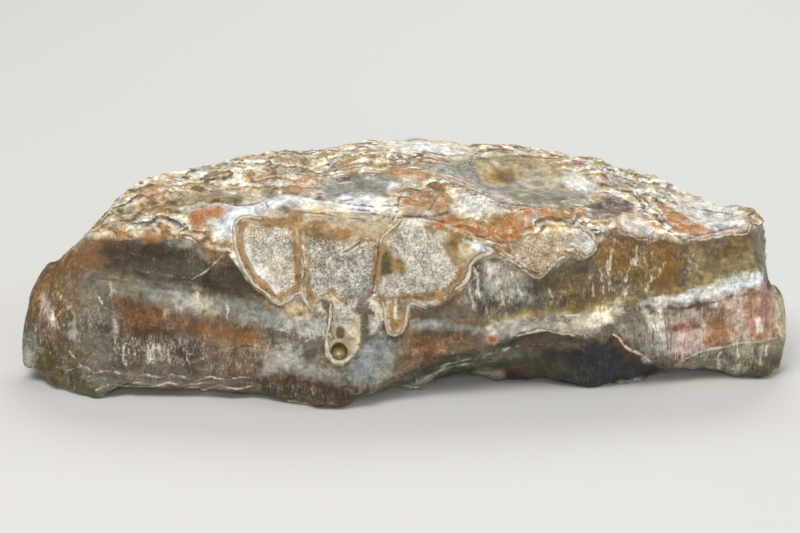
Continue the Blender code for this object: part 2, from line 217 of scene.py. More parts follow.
# Patches on the near side, laid down in this order: (colour, softness in pixels, outline)
FACE_PATCHES = (
    ("earth", 6, ((20, 240), (240, 236), (300, 300), (420, 300), (480, 250), (790, 225), (800, 410),
                  (10, 412))),
    # The left end, from its orange edge to its grey foot
    ("drab", 8, ((15, 300), (60, 250), (100, 262), (118, 300), (112, 380), (60, 395), (15, 380))),
    ("amber", 4, ((58, 262), (84, 240), (98, 244), (100, 262), (84, 272), (60, 276), (44, 292), (36, 290))),
    ("copper", 3, ((36, 292), (50, 284), (60, 284), (62, 292), (48, 296), (38, 306), (32, 322), (28, 318))),
    ("flesh", 6, ((34, 300), (50, 286), (68, 288), (74, 308), (64, 334), (50, 340), (34, 326))),
    ("rose", 2.5, ((40, 296), (48, 296), (56, 308), (60, 326), (56, 332), (50, 322), (44, 312))),
    ("amber", 2.5, ((58, 296), (64, 300), (61, 314), (62, 332), (66, 342), (58, 338), (56, 320), (55, 306))),
    ("ash", 8, ((76, 312), (92, 306), (106, 320), (114, 340), (108, 358), (88, 366), (72, 350), (68, 330))),
    ("pearl", 2, ((69, 322), (76, 320), (77, 334), (71, 338))),
    ("haze", 4, ((66, 284), (84, 276), (98, 282), (98, 298), (82, 304), (68, 298))),
    ("bark", 2, ((92, 243), (97, 243), (100, 258), (99, 270), (95, 266), (94, 254))),
    ("cream", 2, ((64, 255), (74, 246), (86, 240), (84, 246), (72, 256), (66, 260))),
    ("moss", 3, ((68, 368), (76, 364), (82, 370), (78, 380), (70, 378))),
    ("wax", 8, ((34, 346), (60, 342), (78, 362), (66, 382), (44, 376), (30, 362))),
    ("mist", 4, ((22, 338), (30, 330), (36, 350), (36, 372), (22, 370))),
    # The smoky band, its green corner, and the dark facet beside the first tube, whose darkness is painted
    # shade
    ("umber", 2.5, (
        (90, 242), (107, 237), (140, 237), (166, 241), (192, 251), (212, 265), (190, 283), (143, 277),
        (97, 268))),
    ("amber", 5, ((86, 240), (98, 240), (106, 262), (104, 272), (92, 268))),
    ("moss", 1.2, ((186, 252), (198, 255), (213, 264), (194, 277), (188, 270))),
    # Painted shade: this facet lies in shadow beside the first tube, whose rim stands proud of it
    ("umber", 1.2, ((193, 281), (213, 266), (236, 262), (244, 276), (258, 292), (269, 299), (219, 293))),
    ("mist", 3, ((166, 232), (196, 238), (214, 248), (208, 262), (190, 252), (170, 243))),
    ("tan", 3, ((196, 240), (214, 246), (228, 250), (224, 258), (212, 260), (202, 252))),
    # The pale waterline of the left side, and its olive upper edge
    ("olive", 2.5, ((96, 268), (143, 279), (194, 287), (219, 293), (268, 299), (276, 306), (194, 294),
                    (100, 277))),
    ("haze", 4, (
        (98, 276), (143, 284), (194, 291), (255, 302), (314, 315), (338, 320), (336, 328), (314, 331),
        (255, 325), (204, 318), (163, 308), (122, 297), (102, 288))),
    ("mist", 2.5, ((99, 278), (131, 282), (155, 288), (155, 299), (131, 294), (106, 292))),
    ("haze", 2.5, ((112, 284), (155, 288), (196, 291), (243, 299), (284, 308), (316, 316), (310, 321),
                   (270, 318), (236, 316), (211, 314), (196, 318), (178, 311), (155, 302), (132, 297))),
    ("mist", 3, ((140, 289), (196, 292), (244, 302), (250, 314), (211, 314), (196, 314), (178, 308),
                 (150, 300))),
    ("pearl", 6, ((172, 293), (204, 294), (222, 300), (220, 312), (196, 313), (178, 306))),
    # The amber band under it, with its darker core
    ("amber", 6, (
        (112, 296), (163, 309), (204, 319), (255, 326), (268, 334), (262, 347), (245, 344), (204, 338),
        (179, 334), (158, 340), (118, 337))),
    ("bark", 3, ((132, 328), (150, 324), (180, 328), (172, 336), (150, 338), (130, 337))),
    ("cream", 1, ((163, 309), (169, 310), (168, 317), (164, 317))),
    ("mist", 1.2, ((112, 312), (116, 315), (119, 334), (116, 339), (112, 326))),
    ("wax", 0.8, ((98, 277.5), (131, 282), (155, 286.5), (180, 288.5), (212, 293), (244, 298), (244, 299.5),
                    (211, 294.5), (180, 290), (155, 288.5), (131, 284), (98, 279))),
    ("ochre", 3, ((262, 301), (281, 306), (301, 299), (312, 312), (290, 314), (266, 312))),
    # The fleckled floor of the left side and its layered foot
    ("smoke", 6, ((114, 340), (160, 342), (210, 340), (214, 352), (206, 368), (170, 370), (112, 366))),
    ("flesh", 6, ((206, 342), (262, 348), (262, 374), (206, 372))),
    ("pearl", 2, ((146, 344), (152, 346), (155, 360), (147, 362))),
    ("pearl", 2, ((157, 346), (163, 344), (164, 358), (158, 360))),
    ("olive", 3, ((40, 376), (70, 380), (86, 376), (110, 388), (96, 402), (60, 392))),
    ("ash", 3, ((82, 374), (110, 370), (170, 374), (240, 384), (262, 380), (262, 396), (180, 394),
                (100, 402))),
    # Under the tubes: clouded lenses, the pale blue hollow, and painted shade on the underside below the lip
    ("drab", 5, ((262, 330), (300, 332), (322, 346), (332, 362), (300, 360), (262, 348))),
    ("mist", 9, ((258, 346), (290, 348), (316, 362), (346, 380), (338, 388), (300, 380), (262, 378))),
    ("pearl", 5, ((264, 350), (284, 346), (300, 354), (294, 366), (272, 370), (264, 364))),
    # Painted shade: the underside below the lip faces down into shadow, with a darker strip along the lip's
    # edge
    ("umber", 2, ((255, 380), (277, 376), (309, 379), (345, 386), (368, 392), (352, 410), (300, 410),
                  (262, 396))),
    ("bark", 1.5, ((257, 381), (277, 376), (309, 379), (345, 386), (366, 391), (344, 391), (308, 385),
                   (277, 382))),
    ("mist", 6, ((230, 306), (268, 306), (314, 318), (334, 322), (330, 330), (280, 326), (240, 320))),
    ("pearl", 4, ((276, 312), (314, 314), (334, 320), (332, 334), (300, 336), (276, 324))),
    ("cream", 6, ((282, 300), (296, 290), (312, 296), (314, 310), (300, 314), (286, 308))),
    ("bone", 2, ((310, 303), (331, 302), (331, 313), (316, 312))),
    ("sky", 7, (
        (363, 337), (396, 337), (399, 351), (397, 365), (390, 377), (377, 386), (359, 388), (345, 379),
        (349, 367), (357, 354))),
    ("drab", 3, ((399, 338), (406, 334), (404, 372), (384, 386), (380, 384), (396, 370))),
    # The golden band of the right side
    ("mist", 10, ((460, 262), (500, 254), (520, 268), (532, 280), (536, 300), (512, 312), (470, 316),
                  (456, 296))),
    ("smoke", 3, ((470, 268), (480, 262), (484, 280), (480, 300), (470, 300))),
    ("pearl", 3, ((484, 262), (494, 264), (508, 284), (512, 300), (498, 300), (488, 284))),
    ("bone", 1, ((487, 270), (492, 269), (493, 277), (489, 279))),
    ("bone", 1, ((474, 291), (479, 290), (481, 297), (477, 300))),
    ("moss", 6, ((470, 296), (500, 298), (520, 300), (516, 312), (480, 312))),
    ("wax", 12, ((540, 268), (596, 246), (606, 232), (606, 302), (560, 312), (530, 312), (540, 284))),
    ("honey", 10, ((590, 244), (606, 232), (630, 233), (668, 238), (690, 246), (682, 286), (640, 296),
                   (600, 304))),
    ("tallow", 10, ((686, 246), (720, 240), (750, 234), (764, 268), (732, 273), (690, 284))),
    ("sepia", 6, ((546, 292), (600, 264), (650, 278), (640, 296), (600, 304), (556, 312))),
    ("amber", 4, ((596, 240), (606, 233), (640, 234), (684, 244), (690, 256), (660, 250), (620, 246))),
    ("haze", 3, ((754, 220), (764, 226), (768, 286), (759, 284), (756, 250))),
    # Its yellow and white lower edges
    ("sepia", 10, ((702, 246), (722, 243), (748, 240), (750, 250), (734, 260), (712, 270), (702, 268))),
    ("straw", 3, (
        (430, 309), (484, 318), (543, 309), (604, 302), (655, 291), (706, 278), (760, 270), (766, 274),
        (706, 285), (655, 298), (604, 309), (543, 318), (484, 325), (430, 318))),
    ("pearl", 4, ((492, 321), (560, 317), (600, 309), (600, 330), (578, 337), (540, 330), (494, 344),
                  (484, 336))),
    ("bone", 2.5, ((584, 322), (596, 311), (619, 302), (624, 311), (613, 324), (597, 327))),
    ("chalk", 4, ( (642, 303), (686, 292), (732, 280), (766, 273), (768, 286), (729, 294), (686, 303),
    (655, 310), (640, 310))),
    ("drab", 3, ((426, 304), (470, 306), (492, 314), (484, 322), (440, 320), (424, 316))),
    ("mist", 2, ((410, 322), (426, 320), (459, 322), (484, 328), (503, 330), (512, 322), (505, 340),
                 (484, 338), (459, 331), (428, 329), (408, 334))),
    ("pearl", 3, ((478, 326), (500, 324), (504, 336), (488, 336))),
    ("cream", 1, ((424, 301), (436, 299), (448, 301), (440, 305), (428, 305))),
    ("amber", 7, ((405, 336), (428, 331), (459, 331), (482, 342), (476, 352), (451, 359), (420, 369),
                  (400, 378))),
    # The rosy body of the right end
    ("haze", 8, ((618, 314), (655, 310), (686, 305), (690, 330), (676, 364), (650, 354), (626, 346),
                 (606, 338))),
    ("pearl", 4, ((645, 316), (662, 313), (670, 330), (668, 358), (655, 352), (648, 334))),
    ("bone", 2, ((646, 313), (660, 313), (668, 320), (666, 330), (654, 328))),
    ("rose", 8, (
        (676, 320), (690, 308), (729, 296), (768, 286), (782, 294), (788, 320), (786, 337), (757, 341),
        (706, 350), (684, 359), (670, 354), (666, 338))),
    ("clay", 2, ((665, 335), (672, 328), (684, 322), (700, 322), (702, 328), (690, 329), (678, 331))),
    ("russet", 7, ((706, 326), (709, 314), (722, 310), (731, 322), (730, 346), (712, 350), (704, 338))),
    ("brick", 5, ((744, 300), (752, 291), (770, 290), (776, 306), (774, 332), (760, 338), (746, 332))),
    ("cream", 4, ((776, 294), (786, 300), (789, 322), (785, 340), (778, 336), (774, 314))),
    ("bone", 2, ((754, 321), (758, 319), (762, 326), (760, 330), (755, 328))),
    ("haze", 2, ((676, 364), (706, 351), (757, 342), (790, 336), (784, 360), (766, 382), (706, 372))),
    ("bone", 1.2, ((764, 344), (768, 344), (768, 356), (764, 356))),
    ("pearl", 1.5, ((728, 366), (740, 364), (752, 368), (746, 373), (732, 371))),
    ("wax", 5, ((744, 366), (780, 346), (784, 360), (766, 382), (742, 380))),
    ("drab", 3, ((594, 334), (612, 324), (620, 332), (610, 344), (592, 342))),
    # The scooped recess below the right side; its dark grey ground is painted shade, as the recess faces down
    # into shadow
    # Painted shade: the dark grey ground of the recess
    ("shade_grey", 2, (
        (398, 385), (419, 370), (446, 356), (476, 351), (511, 341), (526, 334), (542, 332), (580, 339),
        (603, 341), (613, 333), (631, 349), (656, 363), (690, 372), (660, 392), (560, 394), (398, 396))),
    ("moss", 14, ((400, 384), (446, 360), (511, 346), (556, 346), (560, 376), (480, 388), (400, 396))),
    ("mist", 3, ((474, 374), (484, 368), (500, 370), (508, 377), (496, 382), (478, 381))),
    ("mist", 2, ((410, 385), (424, 377), (438, 373), (434, 382), (424, 388))),
    ("ash", 3, ((430, 372), (470, 358), (520, 350), (546, 350), (500, 360), (450, 374))),
    ("wine", 3, ((506, 370), (524, 365), (530, 372), (518, 380), (506, 378))),
    ("earth", 2, ((516, 341), (542, 335), (580, 341), (584, 347), (550, 349), (518, 351))),
    ("bark", 1.5, ((611, 337), (620, 336), (630, 350), (642, 356), (638, 362), (625, 357), (615, 346))),
    ("pearl", 1.2, ((641, 354), (648, 354), (654, 360), (650, 363), (642, 361))),
)

# The rind and the tubes, laid over the face in the same way
RIND_OUTLINE = (
    (10, 330), (40, 270), (84, 240), (107, 239), (140, 238), (162, 237), (190, 241), (212, 249), (227, 252),
    (236, 264), (246, 280), (260, 292), (272, 302), (281, 306), (290, 302), (299, 296), (310, 311),
    (322, 306), (330, 318), (325, 346), (330, 360), (342, 366), (354, 358), (362, 340), (374, 334),
    (384, 322), (388, 335), (396, 337), (406, 326), (410, 308), (440, 304), (462, 290), (470, 268),
    (482, 258), (500, 258), (520, 269), (538, 279), (554, 268), (570, 256), (584, 259), (596, 248),
    (604, 234), (618, 231), (658, 236), (684, 243), (706, 240), (740, 233), (760, 226), (780, 200),
    (780, 120), (10, 120),
)
RIND_PATCHES = (
    # Its left slope: olive and ochre folds, with a white and a grey lens
    ("cream", 7, ((100, 232), (150, 182), (240, 164), (300, 156), (300, 200), (214, 206), (170, 236))),
    ("tallow", 3, ((141, 186), (156, 178), (186, 176), (184, 184), (160, 190), (146, 198))),
    ("mist", 2, ((184, 172), (194, 169), (218, 170), (216, 176), (200, 178), (186, 177))),
    ("tallow", 2, ((174, 206), (178, 197), (200, 196), (222, 196), (234, 200), (222, 206), (206, 205),
                   (196, 209))),
    ("olive", 1.5, ((226, 200), (240, 196), (246, 204), (240, 207), (230, 206))),
    ("ochre", 3, ((114, 214), (122, 212), (126, 224), (118, 226))),
    ("chalk", 1.5, ((122, 212), (130, 206), (139, 208), (136, 215), (126, 218))),
    ("mist", 2, ((130, 226), (138, 219), (148, 222), (148, 232), (136, 236))),
    ("pearl", 3, ((148, 210), (158, 203), (172, 203), (170, 218), (156, 221))),
    ("sepia", 2, ((166, 212), (172, 203), (180, 206), (178, 222), (172, 229), (166, 224))),
    ("tan", 7, ((92, 238), (118, 228), (150, 232), (196, 226), (214, 238), (196, 246), (140, 240))),
    ("tallow", 3, ((244, 180), (258, 172), (284, 172), (290, 180), (276, 188), (252, 188))),
    ("drab", 3, ((262, 196), (276, 190), (290, 192), (286, 199), (270, 200))),
    # Its middle: an olive wedge, a grey lens and a white ribbon
    ("tallow", 3, ((290, 168), (304, 164), (312, 170), (302, 177), (290, 177))),
    ("chalk", 1, ((322, 181), (332, 173), (343, 172), (340, 178), (328, 184))),
    ("olive", 1, ((328, 185), (340, 180), (348, 175), (360, 171), (357, 179), (346, 184), (334, 187))),
    ("bone", 2, ((350, 144), (372, 141), (384, 148), (372, 156), (352, 152))),
    ("chalk", 2, ((384, 146), (430, 143), (466, 150), (466, 158), (440, 158), (420, 152), (390, 154))),
    ("mist", 2, ((317, 191), (332, 182), (356, 179), (392, 176), (397, 184), (392, 194), (360, 199),
                 (330, 201))),
    ("chalk", 1.5, ((322, 204), (344, 198), (366, 197), (393, 199), (395, 209), (366, 210), (340, 209))),
    ("sepia", 0.8, ((328, 208), (338, 206.5), (348, 208.5), (340, 211), (330, 210))),
    ("wine", 0.8, ((358, 213), (370, 213.5), (386, 217), (384, 220), (368, 217.5))),
    ("tallow", 4, ((398, 178), (430, 180), (452, 190), (440, 200), (408, 196), (396, 190))),
    ("chalk", 1.5, ((386, 188), (392, 184), (400, 186), (398, 192), (388, 193))),
    ("mist", 1, ((403, 214.5), (417, 216), (436, 214), (450, 213), (440, 220), (417, 219.5))),
    # The dish: pale olive, brown in its middle and bluish along its near edge
    ("mist", 4, ((424, 169), (452, 166), (476, 160), (500, 190), (516, 206), (490, 196), (462, 184),
                 (440, 177))),
    ("tallow", 4, ((474, 152), (512, 150), (536, 158), (540, 170), (500, 168), (478, 166))),
    ("cream", 5, ((476, 172), (520, 166), (566, 176), (590, 188), (560, 196), (500, 192), (480, 184))),
    ("pearl", 6, ((500, 176), (540, 172), (566, 180), (572, 190), (540, 192), (506, 188))),
    ("sky", 4, ((486, 186), (520, 192), (584, 194), (588, 204), (550, 210), (512, 205))),
    ("haze", 5, ((500, 190), (540, 196), (584, 200), (560, 208), (516, 204))),
    ("chalk", 4, ((452, 202), (470, 198), (496, 200), (514, 208), (516, 218), (492, 223), (462, 216))),
    # Its right slope
    ("chalk", 2, ((560, 178), (574, 175), (594, 185), (598, 193), (584, 195), (570, 189))),
    ("pearl", 3, ((600, 176), (640, 174), (672, 184), (676, 196), (640, 198), (612, 192))),
    ("bone", 3, ((640, 196), (660, 196), (676, 210), (690, 224), (676, 226), (658, 214))),
    ("chalk", 3, ((664, 200), (690, 197), (736, 210), (748, 222), (742, 230), (704, 231), (684, 220))),
    ("wine", 2, ((586, 206), (606, 200), (630, 203), (634, 213), (612, 218), (590, 216))),
    ("rose", 2, ((684, 235), (706, 232), (742, 226), (746, 231), (722, 235), (690, 240))),
    # The white band over the tubes, and the plain body of the rind between them
    ("chalk", 1.5, ((182, 211), (203, 209), (217, 203), (239, 208), (254, 206), (268, 200), (283, 196),
                    (305, 199), (330, 204), (398, 208), (398, 216), (330, 212), (300, 211), (284, 206),
                    (272, 211), (254, 213), (240, 215), (234, 222), (232, 240), (222, 244), (213, 236),
                    (216, 222), (224, 213), (204, 214))),
    ("cream", 3, ((300, 212), (398, 219), (396, 226), (376, 240), (300, 236))),
    ("ochre", 4, ((306, 222), (330, 224), (330, 236), (310, 238))),
    ("ochre", 2, ((283, 207), (296, 209), (304, 214), (303, 226), (297, 231), (288, 224), (286, 216))),
    # The first tube: a tan wall and a pale sugary core
    ("ochre", 1.2, (
        (238, 224), (250, 219), (290, 220), (303, 226), (302, 284), (294, 292), (282, 300), (272, 296),
        (256, 284), (244, 266), (238, 244))),
    ("pearl", 1.2, (
        (242, 230), (250, 225), (269, 230), (287, 229), (293, 239), (291, 251), (295, 263), (295, 284),
        (288, 289), (280, 293), (274, 289), (269, 281), (258, 276), (248, 259), (243, 243))),
    ("cream", 2, ((243, 226), (262, 226), (262, 234), (248, 236))),
    ("ochre", 1.5, ((250, 229), (260, 229), (262, 236), (252, 237))),
    ("tan", 1.5, ((284, 234), (292, 236), (291, 246), (285, 242))),
    ("chalk", 2, ((243, 236), (250, 250), (261, 262), (272, 272), (276, 284), (285, 289), (278, 293),
                  (268, 284), (256, 276), (247, 260))),
    # The second tube
    ("tan", 1.5, (
        (302, 232), (306, 226), (376, 240), (377, 268), (372, 296), (352, 306), (338, 302), (331, 296),
        (316, 306), (306, 302), (303, 280), (308, 262))),
    ("mist", 1.5, (
        (304, 237), (336, 240), (372, 244), (373, 262), (370, 288), (361, 297), (342, 297), (336, 290),
        (330, 289), (316, 299), (309, 284), (312, 268), (308, 250))),
    ("tan", 2.5, ((306, 226), (337, 232), (340, 244), (322, 250), (308, 244))),
    ("ochre", 1, ((337, 230), (353, 231), (347, 244), (344, 252), (339, 246))),
    ("cream", 1, ((353, 231), (364, 234), (360, 243), (346, 251), (348, 243))),
    ("moss", 2, ((314, 259), (323, 259), (325, 266), (317, 269))),
    # The body between the second tube and the eye
    ("drab", 2, ((322, 300), (366, 300), (376, 314), (372, 334), (360, 350), (350, 340), (330, 346),
                 (328, 318))),
    ("pearl", 2, ((332, 302), (356, 300), (358, 316), (352, 338), (346, 341), (336, 338), (331, 326))),
    ("cream", 1.5, ((350, 318), (360, 314), (362, 336), (354, 356), (346, 362), (350, 344))),
    ("olive", 1.5, ((361, 318), (367, 318), (367, 330), (362, 330))),
    ("pearl", 2, ((369, 316), (382, 316), (383, 334), (370, 335))),
    ("amber", 1, ((337, 329), (344, 328), (346, 334), (342, 339), (336, 337))),
    # The third tube, its window, and the rind to its right
    ("tan", 2, ((378, 246), (396, 228), (440, 226), (500, 250), (470, 266), (462, 288), (440, 302),
                (376, 302))),
    ("pearl", 2, (
        (396, 232), (411, 226), (427, 231), (446, 234), (445, 248), (459, 271), (452, 276), (446, 288),
        (427, 290), (412, 292), (402, 288), (399, 298), (389, 296), (378, 293), (381, 279), (395, 271),
        (408, 273), (390, 250), (386, 242))),
    ("olive", 1.5, ((381, 256), (387, 252), (392, 258), (391, 272), (382, 276))),
    ("ochre", 1.5, ((392, 258), (398, 257), (404, 264), (400, 270), (393, 270))),
    ("tan", 2, ((446, 243), (458, 243), (462, 258), (455, 264), (448, 254))),
    ("cream", 2, ((460, 246), (480, 250), (472, 260), (464, 270), (458, 262))),
    ("chalk", 1.5, ((464, 240), (476, 242), (488, 248), (496, 252), (484, 254), (472, 248))),
    ("tan", 2, ((412, 292), (446, 291), (458, 288), (448, 300), (414, 301))),
    ("cream", 4, ((486, 240), (520, 236), (566, 230), (566, 254), (538, 274), (512, 262), (490, 252))),
    ("tan", 4, ((500, 246), (540, 244), (560, 248), (540, 268), (512, 258))),
    ("bone", 2, ((570, 228), (584, 230), (594, 240), (592, 252), (584, 256), (574, 248))),
    ("chalk", 1, ((614, 219), (636, 222), (654, 233), (648, 238), (634, 238), (622, 231))),
    # The finger
    ("ochre", 1, ((386, 302), (408, 302), (405, 320), (400, 330), (394, 333), (389, 326))),
    ("tallow", 2, ((391, 304), (403, 304), (401, 318), (397, 326), (392, 320))),
    ("bone", 0.6, ((395, 298), (397, 298), (397, 312), (398, 319), (395, 322), (392, 318), (394, 310))),
)
# The eye: a hollow tube seen end on, as column, row, half width and half height
EYE_TUBE = (339.0, 352.0, 8.5, 9.0)
SMALL_EYE = (340.5, 333.0, 4.6, 5.2)
DISH_SPOT = (503.0, 178.0, 24.0, 11.0)
# The cluster of tubes, where the rind shows no layers
TUBE_OUTLINE = (
    (232, 216), (300, 208), (400, 219), (446, 226), (480, 238), (498, 254), (472, 268), (462, 290),
    (410, 310),
    (396, 340), (354, 364), (326, 362), (322, 306), (300, 296), (281, 306), (246, 282), (234, 252),
)

# Sugary places, the tubes' cores most of all: (strength, outline)
SUGARY_PATCHES = (
    (1.0, ((242, 230), (250, 225), (293, 232), (296, 284), (280, 294), (248, 260))),
    (1.0, ((304, 237), (374, 242), (372, 290), (342, 298), (314, 300), (308, 262))),
    (1.0, ((384, 240), (411, 226), (448, 233), (460, 272), (446, 290), (380, 296))),
    (1.0, ((332, 302), (358, 300), (352, 338), (336, 338))),
    (1.0, ((369, 316), (382, 316), (383, 334), (370, 335))),
    (0.7, ((452, 200), (512, 200), (520, 212), (456, 218))),
    (0.8, ((664, 200), (690, 197), (736, 210), (748, 222), (742, 230), (704, 231), (684, 220))),
    (1.0, ((570, 229), (584, 231), (593, 240), (591, 252), (584, 255), (575, 247))),
    (1.0, ((504, 242), (566, 231), (570, 248), (540, 270), (514, 260))),
)

# Smooth places, where layers, fibres and speckles fade: (strength, outline)
CALM_PATCHES = (
    (0.95, ((474, 180), (480, 162), (510, 160), (540, 168), (566, 176), (590, 192), (580, 206), (530, 208),
            (500, 200), (480, 190))),
    (0.85, ((506, 344), (560, 338), (606, 342), (634, 356), (660, 374), (620, 392), (530, 388), (500, 366))),
    (0.9, ((316, 191), (332, 181), (356, 178), (393, 175), (398, 184), (393, 195), (360, 200), (330, 202))),
    (0.8, ((320, 204), (344, 198), (366, 196), (394, 198), (396, 210), (366, 211), (340, 210))),
    (0.8, ((326, 186), (340, 179), (348, 174), (361, 170), (358, 180), (346, 185), (334, 188))),
    (0.8, ((424, 168), (452, 165), (476, 158), (500, 186), (516, 206), (490, 198), (462, 186), (440, 178))),
    (0.7, ((382, 145), (430, 142), (468, 149), (468, 158), (440, 159), (420, 153), (388, 155))),
    (0.8, ((402, 214), (417, 215), (450, 212), (440, 221), (417, 220))),
    (0.8, ((559, 177), (574, 174), (595, 184), (599, 194), (584, 196), (569, 190))),
    (0.7, ((172, 207), (178, 196), (222, 195), (236, 200), (222, 207), (196, 210))),
    (0.7, ((683, 236), (706, 231), (742, 225), (748, 231), (722, 236), (690, 241))),
    (0.6, ((586, 206), (604, 199), (632, 203), (636, 214), (612, 219), (588, 217))),
    (0.85, ((182, 210), (203, 208), (217, 202), (239, 207), (254, 205), (268, 199), (283, 195), (305, 198),
            (330, 203), (398, 208), (398, 216), (330, 212), (300, 211), (272, 211), (240, 215), (232, 240),
            (222, 244), (214, 236), (218, 218), (204, 213))),
    (0.85, ((613, 218), (636, 221), (655, 233), (648, 239), (632, 238), (621, 231))),
    (0.85, ((96, 272), (143, 278), (196, 286), (255, 297), (320, 311), (322, 326), (262, 322), (200, 320),
            (158, 309), (102, 301))),
    (0.7, ((262, 350), (290, 347), (318, 352), (344, 378), (330, 386), (300, 378), (262, 378))),
    (0.8, ((358, 340), (396, 338), (398, 366), (388, 380), (360, 388), (346, 378))),
    (0.8, ((406, 315), (459, 315), (505, 316), (560, 311), (590, 303), (622, 298), (626, 312), (606, 328),
           (560, 336), (505, 343), (459, 334), (408, 336))),
    (0.45, ((404, 334), (476, 340), (470, 356), (404, 374))),
    (0.9, ((640, 298), (686, 286), (732, 274), (768, 266), (770, 292), (729, 298), (686, 307), (644, 314))),
    (0.35, ((672, 316), (730, 298), (784, 288), (788, 330), (706, 348), (672, 352))),
    (0.5, ((92, 244), (190, 246), (266, 298), (219, 293), (98, 270))),
    (0.7, ((586, 246), (690, 240), (752, 236), (766, 268), (690, 284), (600, 302))),
    (0.5, ((466, 262), (490, 256), (490, 304), (468, 304))),
    (0.7, ((206, 192), (250, 192), (276, 190), (270, 200), (226, 203))),
    (0.95, ((379, 254), (386, 251), (396, 256), (402, 262), (408, 268), (402, 272), (390, 272), (379, 277))),
    (0.8, ((447, 242), (462, 241), (482, 248), (474, 260), (464, 272), (456, 266), (448, 254))),
)
# Where pale flecks stand thick in the bands: (strength, outline)
FLECKED_PATCHES = (
    (0.68, ((110, 338), (140, 334), (172, 338), (206, 336), (212, 352), (196, 366), (150, 362), (112, 364))),
    (0.5, ((206, 338), (262, 350), (262, 372), (204, 370))),
    (0.4, ((70, 300), (100, 304), (112, 330), (104, 352), (76, 346))),
    (0.5, ((36, 292), (60, 284), (76, 304), (68, 336), (44, 336))),
    (0.6, ((466, 268), (490, 258), (520, 272), (524, 300), (500, 314), (470, 312))),
    (0.4, ((590, 250), (616, 240), (650, 244), (664, 270), (648, 292), (600, 300), (584, 284))),
    (0.35, ((676, 248), (710, 246), (712, 272), (680, 280))),
    (0.5, ((700, 350), (770, 338), (784, 346), (768, 374), (704, 368))),
    (0.5, ((642, 306), (672, 310), (676, 350), (650, 350))),
    (0.6, ((732, 300), (770, 296), (776, 330), (736, 336))),
    (0.4, ((520, 300), (560, 284), (590, 290), (580, 310), (524, 314))),
    (0.35, ((404, 340), (470, 338), (466, 356), (410, 366))),
    (0.4, ((270, 382), (322, 384), (330, 400), (286, 400))),
)

# Rust, where the material scatters it: (strength, softness in pixels, outline)
RUST_PATCHES = (
    (1.05, 2, ((424, 225), (436, 219), (451, 216), (469, 222), (484, 226), (502, 219), (512, 212),
               (528, 216), (532, 230), (520, 238), (507, 243), (499, 247), (487, 239), (471, 234),
               (456, 230), (438, 231))),
    (0.95, 3, ((402, 206), (410, 198), (425, 194), (440, 195), (451, 204), (448, 212), (436, 214),
               (406, 213))),
    (1.1, 1.5, ((517, 209), (530, 210), (550, 214), (570, 214), (584, 211), (588, 217), (570, 221),
                (548, 220), (528, 218))),
    (1.08, 2, ((654, 206), (664, 213), (672, 216), (682, 215), (690, 222), (704, 227), (708, 232), (696, 236),
              (682, 237), (674, 230), (662, 220))),
    (1.0, 2, ((386, 174), (396, 169), (410, 171), (430, 176), (431, 182), (418, 184), (402, 180),
              (390, 178))),
    (1.0, 1.5, ((392, 190), (402, 188), (409, 191), (400, 195), (393, 194))),
    (1.0, 1.5, ((318, 157), (324, 153), (330, 156), (326, 160), (320, 160))),
    (0.65, 4, ((520, 158), (540, 156), (562, 160), (570, 168), (556, 173), (536, 168))),
    (1.12, 2, ((190, 214), (204, 208), (220, 206), (230, 212), (222, 220), (208, 222), (200, 231),
               (191, 228))),
    (1.0, 2, ((140, 236), (152, 234), (166, 236), (160, 242), (144, 242))),
    (1.0, 3, ((286, 189), (300, 182), (314, 177), (320, 184), (308, 194), (296, 198), (286, 196))),
    (0.85, 4, ((142, 207), (148, 192), (158, 183), (170, 179), (166, 190), (156, 200), (150, 209))),
    (1.1, 2, ((341, 169), (350, 163), (358, 167), (352, 174), (344, 174))),
    (0.55, 5, ((90, 242), (106, 226), (126, 226), (134, 232), (120, 240), (102, 244))),
    (0.4, 6, ((84, 246), (52, 276), (34, 300), (44, 300), (66, 284), (100, 262))),
    (0.4, 7, ((56, 284), (80, 288), (90, 304), (76, 312), (60, 300))),
    (0.45, 6, ((208, 328), (262, 336), (266, 352), (244, 352), (214, 344))),
    (1.6, 2, ((488, 335), (495, 335), (496, 341), (489, 342))),
    (0.5, 4, ((310, 222), (370, 226), (386, 232), (380, 238), (330, 234), (306, 230))),
    (0.6, 2, ((402, 321), (411, 323), (411, 332), (404, 333))),
    (0.5, 6, ((498, 240), (540, 238), (560, 246), (548, 256), (512, 252))),
    (0.5, 4, ((590, 216), (624, 218), (650, 230), (640, 234), (604, 226))),
    (0.5, 3, ((248, 178), (262, 174), (276, 176), (268, 182), (252, 183))),
    (0.4, 4, ((446, 299), (462, 292), (470, 300), (456, 306), (446, 306))),
)

